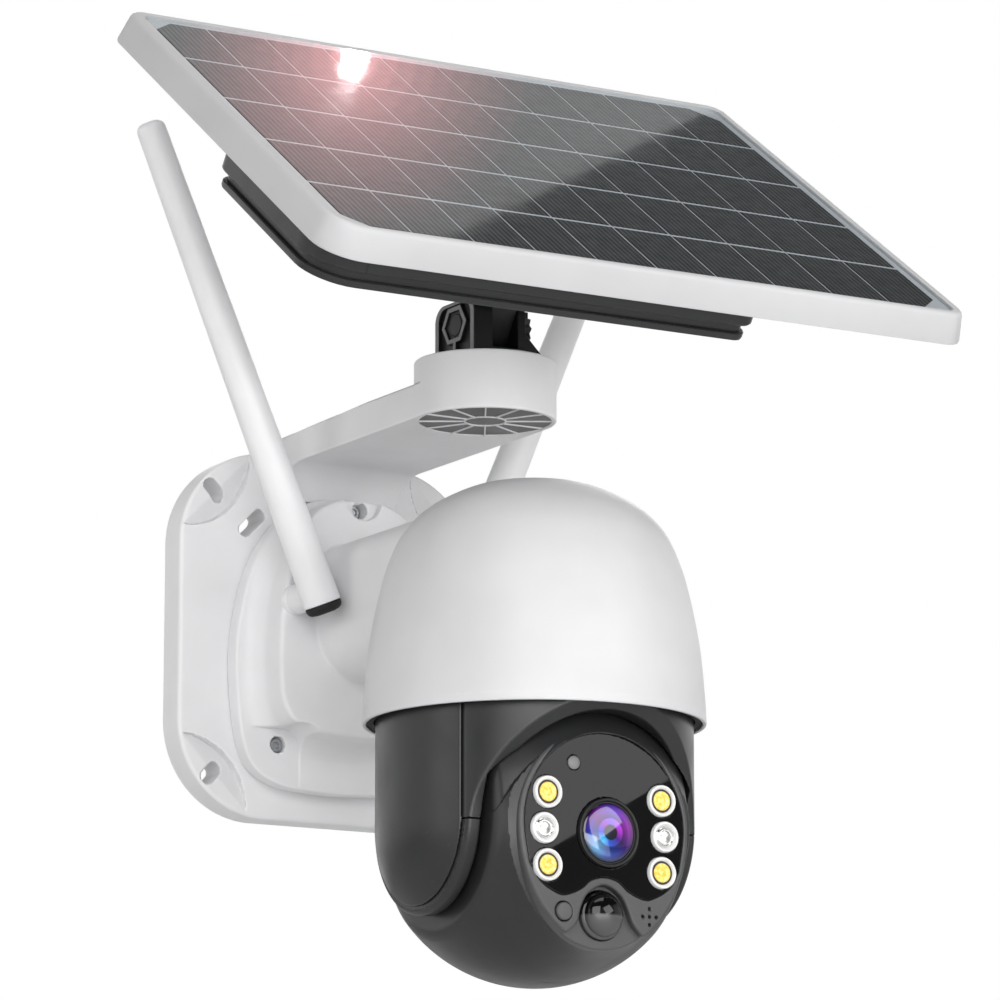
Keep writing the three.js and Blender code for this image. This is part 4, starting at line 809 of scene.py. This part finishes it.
def face_holes(x, z, grow=0.0):
    """The holes for the lens barrel, the light sensor and the lamps."""
    gap = 0.15
    holes = disc(x, z, LENS_X, LENS_Z, BARREL_R + 0.2 + grow)
    holes = minimum(holes, disc(x, z, SENSOR[0], SENSOR[1], SENSOR[2] + gap + grow))
    for _, cx, cz, r, _ in LEDS:
        holes = minimum(holes, disc(x, z, cx, cz, r + gap + grow))
    return holes


def face():
    """The bezel with its bell-shaped step round the infrared eye, and the black window in it."""
    step, window_deep, gap = 3.0, 2.6, 0.15

    def bezel(x, y, z):
        rim = oval(x, z)
        base = meet(rim, within(y, FRONT + step, -190), 0.6)
        raised = cut(meet(rim, within(y, FRONT, -200), 1.1), bell(x, z), 0.9)
        behind = maximum(ball_field(x, y, z, BALL_R + gap, 60), SEAT_Y - gap - y)
        body = maximum(minimum(base, raised), -behind)
        body = cut(body, maximum(window(x, z), y - FRONT - window_deep), 0.25)
        body = cut(body, face_holes(x, z), 0.1)
        body = cut(body, disc(x, z, 0, PIR_Z, 8.6), 0.3)
        body = cut(body, disc(x, z, BUTTON[0], BUTTON[1], BUTTON[2] + 0.35), 0.3)
        for i, k in ((0, 0), (1, 0), (-1, 0), (0, 1), (0, -1)):
            body = cut(body, disc(x, z, MIC[0] + i * MIC[2], MIC[1] + k * MIC[2], MIC_HOLE), 0.1)
        return body

    mould("face_bezel_fine", bezel, (-34, FRONT, -134.5), (34, -188, -58), 0.4,
          "head", BEZEL)

    def glass(x, y, z):
        pane = meet(window(x, z) + 0.12, within(y, FRONT + 0.15, FRONT + 2.3), 0.25)
        return cut(pane, face_holes(x, z, -0.05), 0.15)

    mould("face_glass_fine", glass, (-32, FRONT, -117), (32, FRONT + 2.4, -60), 0.4,
          "head", WINDOW)


def optics():
    """What sits in the face, each piece turned about its own axis with heights towards the front."""
    at = (LENS_X, FRONT, LENS_Z)
    lathe("lens_barrel_fine", [
        (8.8, -18), (BARREL_R, -18), (BARREL_R, 0.8), (11.7, 1.2), (11.4, 1.35), (11.0, 1.25), (10.7, 0.9),
        (10.5, 0.4), (8.8, 0.2), (8.8, -18),
    ], at, TO_FRONT, "head", BLACK, 128)
    arc = [(LENS_R * sin(t), 0.3 + 1.6 * cos(t)) for t in linspace(radians(86), 0, 24)]
    lathe("lens_glass_fine", [(0, 0.3), (LENS_R, 0.3), *arc[:-1], (0, 1.9)], at, TO_FRONT,
          "head", LENS, 128)
    for name, x, z, r, white in LEDS:
        centre = (x, FRONT, z)
        cup = [
            (0, SUNK), (r, SUNK), (r, 0.6), (r - 0.3, 1.05), (r - 0.8, 1.1), (r - 1.25, 0.8), (r - 1.5, 0.2),
            (0, 0.0),
        ]
        lathe(f"{name}_fine", cup, centre, TO_FRONT, "head", PEARL)
        if white:
            well = [(3.35, 0.05), (4.05, 0.05), (4.05, 0.3), (3.35, 0.3), (3.35, 0.05)]
            lathe(f"{name}_well", well, centre, TO_FRONT, "head", BLACK)
            chip = [
                (0, 0.05), (3.3, 0.05), (3.3, 0.5), (3.0, 0.8), (2.2, 0.85), (1.5, 0.7), (1.1, 1.0),
                (0, 1.15),
            ]
            lathe(f"{name}_phosphor", chip, centre, TO_FRONT, "head", PHOSPHOR)
        else:
            bead = [
                (0, 0.05), (3.7, 0.05), (3.7, 0.3), (3.1, 0.75), (2.6, 0.3), (2.3, 0.3), (2.0, 0.9),
                (1.2, 1.15), (0, 1.2),
            ]
            lathe(f"{name}_bead", bead, centre, TO_FRONT, "head", SILVER)
    dot = [(0, SUNK), (2.3, SUNK), (2.3, 0.1), (1.9, 0.5), (1.0, 0.8), (0, 0.9)]
    at_sensor, at_button = ((spot[0], FRONT, spot[1]) for spot in (SENSOR, BUTTON))
    lathe("light_sensor_fine", dot, at_sensor, TO_FRONT, "head", RIB, 48)
    bulge = [(7.4 * cos(t), -1.2 + 4.9 * sin(t)) for t in linspace(0, radians(88), 24)]
    window_eye = [(0, SUNK), (8.3, SUNK), (8.3, -1.9), (8.0, -1.5), *bulge, (0, 3.7)]
    lathe("pir_lens_fine", window_eye, (0, FRONT, PIR_Z), TO_FRONT, "head", SMOKE, 96)
    cap = [(0, -4.4), (3.05, -4.4), (3.05, 0.3), (2.7, 0.7), (0, 0.85)]
    lathe("reset_button_fine", cap, at_button, TO_FRONT, "reset_button", BEZEL, 48)


# -------- panel arm

def panel_arm():
    """The beam with its curved heel on the wall plate, and the round boss with a web of ribs below, over a dark
    disc that paints the shade in the boss's recess.
    """
    foot, radius, heel_low, on_plate = PLATE_FRONT - 0.3, 23.0, 51.6, 69.3
    start, recess_r = foot - radius, 24.3

    def field(x, y, z):
        top = ARM_TOP - 1.8 * np.clip((y - BOSS_Y - 40) / 88, 0, 1)
        beam = meet(within(y, BOSS_Y, 0), maximum(z - top, ARM_LOW - z), 0.0)
        heel = maximum(maximum(within(y, start, foot), z - ARM_LOW - 1), heel_low - z)
        heel = maximum(heel, radius - hypot(y - start, z - ARM_LOW + radius))
        beam = np.where(y > foot, maximum(beam, on_plate - z), minimum(beam, heel))
        beam = meet(beam, abs(x) - ARM_HALF, 0.5)
        boss = meet(disc(x, y, 0, BOSS_Y, ARM_HALF), within(z, ARM_LOW, BOSS_TOP), 0.6)
        body = minimum(beam, boss)
        return cut(body, maximum(disc(x, y, 0, BOSS_Y, recess_r), z - ARM_LOW - 2.2), 0.25)

    mould("panel_arm_fine", field, (-ARM_HALF, BOSS_Y - ARM_HALF, heel_low), (ARM_HALF, 0, BOSS_TOP), 0.7,
          "base", LIGHT)

    def web(x, y, z):
        r, turn = hypot(x, y - BOSS_Y), np.arctan2(y - BOSS_Y, x)
        step = pi / 6
        off = abs((turn + step / 2) % step - step / 2) * r
        spokes = maximum(off - 0.28, within(r, 7, 24.2))
        rings = minimum(abs(r - 7.4) - 0.3, abs(r - 24.1) - 0.25)
        return meet(minimum(spokes, rings), within(z, ARM_LOW + 0.1, ARM_LOW + 0.8), 0.1)

    mould("arm_rib_web", web, (-25, BOSS_Y - 25, ARM_LOW), (25, BOSS_Y + 25, ARM_LOW + 2), 0.27,
          "base", LIGHT)
    # painted shade: a dark grey disc behind the ribs stands in for the shade deep in the recess
    lathe("arm_recess_painted_shade", [(0, 0.6), (24.2, 0.6), (24.2, 2.1), (0, 2.1)], (0, BOSS_Y, ARM_LOW), UPWARD,
          "base", BEZEL, 96)


# -------- panel bracket

BRACKET_LEFT, BRACKET_RIGHT, BRACKET_TOP, BRACKET_BASE = -13.0, 8.4, 105.5, BOSS_TOP + 0.3
BRACKET_Y, BRACKET_HALF, GUSSET_TOP = -129.15, 14.05, 93


def bracket_side(y, z, inset=(0.0, 0.0), corner=6.0):
    (across, up), half = inset, 20
    corner -= min(across, up)
    return rounded(y - BRACKET_Y, z - BRACKET_TOP + half, BRACKET_HALF - across, half - up, corner)


def bracket_hexagon(y, z):
    v, w = abs(y - BOSS_Y), abs(z - HINGE_Z)
    return maximum(w - 6.7, v * 0.84 + w * 0.542 - 7.4)


def bracket_ribs(y, z):
    """The raised ribs of the left side: its border, the nut pocket's wall and the stem under it."""
    border = -bracket_side(y, z, (2.9, 1.5))
    nut_wall = maximum(bracket_hexagon(y, z), -(bracket_hexagon(y, z) + 1.9))
    stem = maximum(abs(y - BOSS_Y + 0.3) - 1.0, z - HINGE_Z + 6)
    return minimum(minimum(border, nut_wall), stem)


def bracket():
    front = BRACKET_Y - BRACKET_HALF
    back = BRACKET_Y + BRACKET_HALF

    def block(x, y, z):
        side = maximum(bracket_side(y, z), BRACKET_BASE - z)
        body = meet(side, within(x, BRACKET_LEFT, BRACKET_RIGHT), 0.4)
        gusset = maximum(within(y, front, front + 2.5), BRACKET_BASE - z)
        gusset = maximum(gusset, x - BRACKET_RIGHT - (GUSSET_TOP - z))
        body = minimum(body, maximum(gusset, BRACKET_RIGHT - 2 - x))
        body = cut(body, maximum(abs(x) - 5.3, BRACKET_BASE + 3 - z), 0.3)
        recess = maximum(maximum(bracket_side(y, z), -bracket_ribs(y, z)), x - BRACKET_LEFT - 1.6)
        body = cut(body, recess, 0.12)
        pocket = maximum(bracket_hexagon(y, z) + 1.9, x - BRACKET_LEFT - 5)
        return cut(cut(body, pocket, 0.2), disc(y, z, BOSS_Y, HINGE_Z, 4.3), 0.1)

    mould("swivel_bracket_fine", block, (BRACKET_LEFT, front, BRACKET_BASE), (17, back, BRACKET_TOP), 0.33,
          "panel_bracket", BLACK)

    # painted highlight: thin grey strips on the black ribs' outer faces stand in for light catching their edges
    def caps(x, y, z):
        shape = maximum(bracket_ribs(y, z) + 0.15, bracket_side(y, z) + 0.35)
        shape = maximum(shape, BRACKET_BASE + 0.2 - z)
        return meet(shape, within(x, BRACKET_LEFT - 0.12, BRACKET_LEFT + 0.4), 0.1)

    low, high = (BRACKET_LEFT - 0.2, front, BRACKET_BASE), (BRACKET_LEFT + 0.5, back, BRACKET_TOP)
    mould("bracket_rib_painted_highlight", caps, low, high, 0.25, "panel_bracket", RIB)


# -------- panel

panel_place = Matrix.Translation(PANEL_AT) @ Matrix.Rotation(PANEL_TILT, 4, "X")


def panel():
    """The flared frame, then the back sheet, the cells and the glass in its opening."""
    deep, ledge, radii, radii_in = 11.5, -3.8, (13, 7, 7, 7), (10, 4.5, 4.5, 4.5)
    left_in, right_in, half_in = -121.4, 123.2, 95.4

    def edge(across, up, bend, z):
        half_x, half_y = 126.4 + across, 98.5 + up
        return corner_loop(-half_x, half_x, -half_y, half_y, [r + bend for r in radii], z)

    def opening(shrink, z):
        half_y = half_in - shrink
        bends = [r - shrink for r in radii_in]
        return corner_loop(left_in + shrink, right_in - shrink, -half_y, half_y, bends, z)

    def inside(z):
        return corner_loop(-115, 115, -89, 89, [4] * 4, z)

    loops = [
        edge(1.6, 1.2, 1.2, -deep), edge(2.2, 1.9, 2.0, -deep + 0.3), edge(2.3, 2.0, 2.0, -deep + 1.1),
        edge(0.3, 0.2, 0.2, -1.8), edge(-0.2, -0.2, -0.2, -0.7), edge(-1.1, -1.1, -1.1, -0.08),
        edge(-2.3, -2.3, -2.0, 0.0), opening(0, -0.3), opening(0, ledge), inside(ledge), inside(-deep),
    ]
    skin("panel_frame_fine", loops, "solar_panel", FRAME, panel_place, ring=True)
    sheet = [opening(0.3, -3.5), opening(0.3, -1.45)]
    skin("panel_backsheet", sheet, "solar_panel", WHITE, panel_place)
    solar_cells()
    pane = [opening(0.5, -1.15), opening(0.3, -1.05), opening(0.3, -0.5), opening(0.6, -0.3)]
    skin("panel_glass_fine", pane, "solar_panel", PANE, panel_place, angle=15)


def solar_cells():
    """Ten by five cells on the white back sheet. Only the panel's four corner cells are clipped."""
    wide, tall, gap, row_gap, clip = CELL_WIDTH, 37.6, 0.48, 1.0, 9.0
    points, faces = [], []
    for i in range(CELLS_ACROSS):
        for k in range(CELLS_UP):
            x0 = (i - CELLS_ACROSS / 2) * wide + gap
            y0 = (k - CELLS_UP / 2) * tall + row_gap
            x1, y1 = x0 + wide - 2 * gap, y0 + tall - 2 * row_gap
            outline = []
            for x, y in ((x0, y0), (x1, y0), (x1, y1), (x0, y1)):
                outer_x = abs(x) > (CELLS_ACROSS / 2 - 0.5) * wide
                outer_y = abs(y) > (CELLS_UP / 2 - 0.5) * tall
                if outer_x and outer_y:
                    in_x, in_y = (x - math.copysign(clip, x), y), (x, y - math.copysign(clip, y))
                    outline += [in_y, in_x] if x * y > 0 else [in_x, in_y]
                else:
                    outline.append((x, y))
            start, n = len(points), len(outline)
            points += [(x, y, z) for z in (-1.43, -1.25) for x, y in outline]
            faces.append([start + j for j in range(n)][::-1])
            faces.append([start + n + j for j in range(n)])
            for j in range(n):
                m = (j + 1) % n
                faces.append([start + j, start + m, start + n + m, start + n + j])
    points = [panel_place @ Vector(p) for p in points]
    make("solar_cells_fine", points, faces, "solar_panel", SILICON)


def back_box():
    """The box under the panel, its lid and the fine seam across its front."""
    x0, x1, y0, y1, roof = -123.0, 52.3, -85.5, 5.0, -11.8

    def loop(shrink, z):
        radii = [18 - shrink, 8 - shrink, 8 - shrink, 8 - shrink]
        return corner_loop(x0 + shrink, x1 - shrink, y0 + shrink, y1 - shrink, radii, z)

    body = [loop(1.6, -20.95), loop(0.6, -20.7), loop(0.0, -20.0), loop(0, roof - 0.4), loop(0.4, roof)]
    skin("back_box_fine", body, "solar_panel", DARK, panel_place)
    lid = [
        loop(2.6, -27), loop(1.8, -26.7), loop(1.5, -26.0), loop(1.5, -24.4), loop(1.9, -24.0),
        loop(3.0, -23.9), loop(3.0, -21.3),
    ]
    skin("back_box_cover_fine", lid, "solar_panel", DARK, panel_place)
    left, right, foot = -104.4, -103.6, -20.2
    seam = [(x, y0 - 0.05, z) for x, z in ((left, foot), (right, foot), (right, roof), (left, roof))]
    behind = [(x, y + 0.6, z) for x, y, z in seam]
    skin("back_box_seam", [seam, behind], "solar_panel", BLACK, panel_place)


# -------- antennas

def antennas():
    lean, base, tip, length = (ANTENNA[k] for k in ("lean", "base", "tip", "length"))
    for side, word in SIDES:
        axis = (side * sin(lean), 0, cos(lean))
        foot = (side * ANTENNA["x"], ANTENNA["y"], ANTENNA["z"])
        cap = [(tip * cos(t) ** 0.6, length - 3.2 + 3.2 * sin(t)) for t in linspace(0, 1.5, 14)]
        body = f"antenna_{word}"
        rod = [(0, 0.6), (base - 0.5, 0.6), (base - 0.15, 0.8), (base, 1.3), *cap, (0, length)]
        lathe(f"antenna_rod_{word}_fine", rod, foot, axis, body, BRIGHT)
        boot = [
            (0, -3.0), (3.4, -2.95), (5.2, -2.6), (6.3, -1.8), (6.75, -0.8), (6.8, 0.3), (6.6, 0.5),
            (0, 0.5),
        ]
        lathe(f"antenna_boot_{word}_fine", boot, foot, axis, body, RUBBER)
        pivot = [f + ANTENNA["pivot"] * a for f, a in zip(foot, axis)]
        stub = [(0, 0), (5.3, 0), (5.6, 0.3), (5.6, 11.5), (5.2, 12), (0, 12)]
        stub_at = (pivot[0], FACE_Y - 3.4, pivot[2])
        lathe(f"antenna_knuckle_{word}_fine", stub, stub_at, TO_FRONT, body, LIGHT, 48)
        plate = [(0, -0.5), (5.6, -0.5), (5.6, 2.2), (5.3, 2.7), (4.7, 3.0), (0, 3.0)]
        plate_at = (pivot[0], FACE_Y, pivot[2])
        lathe(f"antenna_socket_{word}_fine", plate, plate_at, TO_FRONT, "base", LIGHT)


# -------- studio

def lamp(name, size, power, colour=(1, 1, 1)):
    data = bpy.data.lights.new(name, "AREA")
    data.shape, data.size, data.size_y = "RECTANGLE", size[0], size[1]
    data.energy, data.color = power, colour
    holder = bpy.data.objects.new(name, data)
    bpy.context.scene.collection.objects.link(holder)
    return holder


def area(name, place, target, size, power, colour=(1, 1, 1)):
    holder = lamp(name, size, power, colour)
    holder.location = place
    holder.rotation_euler = (Vector(target) - Vector(place)).to_track_quat("-Z", "Y").to_euler()
    return holder


def card(name, seen, low, high, lit, distance, beyond, deep, radiance):
    """A glowing card seen only in a flat mirror. One edge lies along the mirror's line from low to high."""
    share = 1 + distance / ((Vector(low) + Vector(high)) / 2 - seen).length
    start, end, bright = (seen + (Vector(p) - seen) * share for p in (low, high, lit))
    along = (end - start).normalized()
    up = bright - start
    up = (up - along * up.dot(along)).normalized()
    length = (end - start).length + 2 * beyond
    place = (start + end) / 2 + up * deep / 2
    if along.cross(up).dot(seen - place) > 0:
        along = -along
    turn = Matrix((along, up, along.cross(up))).transposed()
    holder = lamp(name, (length, deep), radiance * pi * length * deep)
    holder.matrix_world = Matrix.Translation(place) @ turn.to_4x4()
    holder.visible_camera = False


def sky():
    """White behind the part, and darker overhead, in front of it and a little to its left."""
    world = bpy.data.worlds.new("studio")
    bpy.context.scene.world = world
    world.use_nodes = True
    nodes = Nodes(world.node_tree, "Generated")
    split = nodes.add("SeparateXYZ", {0: nodes.place}).outputs
    shares = []
    for axis, stops in (
        (2, [(0.0, 1.0), (0.66, 1.0), (0.78, 0.06)]), (1, [(0.0, 0.32), (0.4, 0.4), (0.62, 1.0)]),
        (0, [(0.0, 0.8), (0.25, 0.85), (0.5, 1.0)]),
    ):
        shifted = nodes.add("Math", {0: split[axis], 1: 0.5, 2: 0.5}, operation="MULTIPLY_ADD")
        shares.append(nodes.ramp(shifted.outputs[0], [(at, grey(value)) for at, value in stops]))
    high, deep, left = shares
    light = nodes.mix(1.0, nodes.mix(1.0, high, deep, "MULTIPLY"), left, "MULTIPLY")
    background = world.node_tree.nodes["Background"]
    world.node_tree.links.new(light, background.inputs[0])
    background.inputs[1].default_value = 1.0


def reflections():
    """The bright cards and the flare that the window and the panel's glass mirror. Points are in metres."""
    front = FRONT * MM
    seen = Vector((EYE.x, 2 * front - EYE.y, EYE.z))
    low, high, lit = (-0.02935, front, -0.10559), (0.02835, front, -0.07293), (-0.02, front, -0.07)
    card("window_card", seen, low, high, lit, 1.1, 0.3, 0.5, 2.9)
    lift = Vector((0, -sin(PANEL_TILT), cos(PANEL_TILT)))
    seen = EYE - 2 * (EYE - Vector(PANEL_AT) * MM).dot(lift) * lift
    low, high = (-0.08006, -0.24519, 0.09594), (0.12789, -0.08862, 0.20866)
    lit = (-0.03868, -0.10087, 0.19984)
    card("panel_card", seen, low, high, lit, 1.6, 0.6, 1.2, 0.5)
    flare = seen + (Vector(lit) - seen) * 2.0
    rings = [("core", 0.009, 40.0, (1, 1, 1))] + [
        (f"halo_{i}", 0.018 + 0.014 * i, 1.0 / (1 + 0.9 * i), (1, 0.4, 0.42)) for i in range(9)
    ]
    for name, size, bright, colour in rings:
        away = flare + (flare - seen).normalized() * size
        power = bright * pi ** 2 * size * size
        ring = area(f"flare_{name}", away, seen, (2 * size, 2 * size), power, colour)
        ring.data.shape = "DISK"
        ring.visible_camera = False


def studio():
    scene = bpy.context.scene
    sky()
    scene.view_settings.view_transform = "Standard"
    middle = (0, -0.13, 0.03)
    area("key", (-1.5, -2.4, 0.9), middle, (2.2, 1.6), 38)
    area("low_front", (-0.3, -2.5, -0.15), (0, 0, 0), (2.4, 0.5), 14)
    area("top", (-0.2, -0.7, 2.4), middle, (1.8, 1.6), 17)
    area("fill", (2.3, -1.3, 0.5), middle, (1.4, 1.8), 2)
    area("side", (-2.6, 0.0, 0.3), middle, (1.2, 1.8), 8)
    area("below", (-0.1, -1.2, -0.39), middle, (1.6, 0.8), 5)
    area("back", (1.4, 2.2, 1.4), middle, (1.6, 1.4), 16)
    reflections()

    reach, height = 9.0, -0.4
    corners = [(x * reach, y * reach, height) for x, y in ((-1, -1), (1, -1), (1, 1), (-1, 1))]
    floor = bpy.data.meshes.new("studio_floor")
    floor.from_pydata(corners, [], [(0, 1, 2, 3)])
    ground = bpy.data.objects.new("studio_floor", floor)
    scene.collection.objects.link(ground)
    paint = Paint("studio_floor")
    paint.set(Base_Color=paint.ramp(paint.noise(3, 2), [(0.3, tone(0.93)), (0.7, tone(0.95))]), Roughness=0.7)
    floor.materials.append(paint.material)


def camera():
    """A long lens that looks up at the part from its left."""
    rise, turn = 11.317, -30.611
    data = bpy.data.cameras.new("camera")
    data.sensor_width, data.lens = 36, 182.46
    view = bpy.data.objects.new("camera", data)
    view.location = EYE
    view.rotation_euler = (radians(90 + rise), 0, radians(turn))
    bpy.context.scene.collection.objects.link(view)
    bpy.context.scene.camera = view


camera()
paint_frame()
wall_plate()
rear_housing()
housing_screws()
dome_cover()
yoke()
head_shell()
face()
optics()
panel_arm()
bracket()
panel()
back_box()
antennas()
studio()
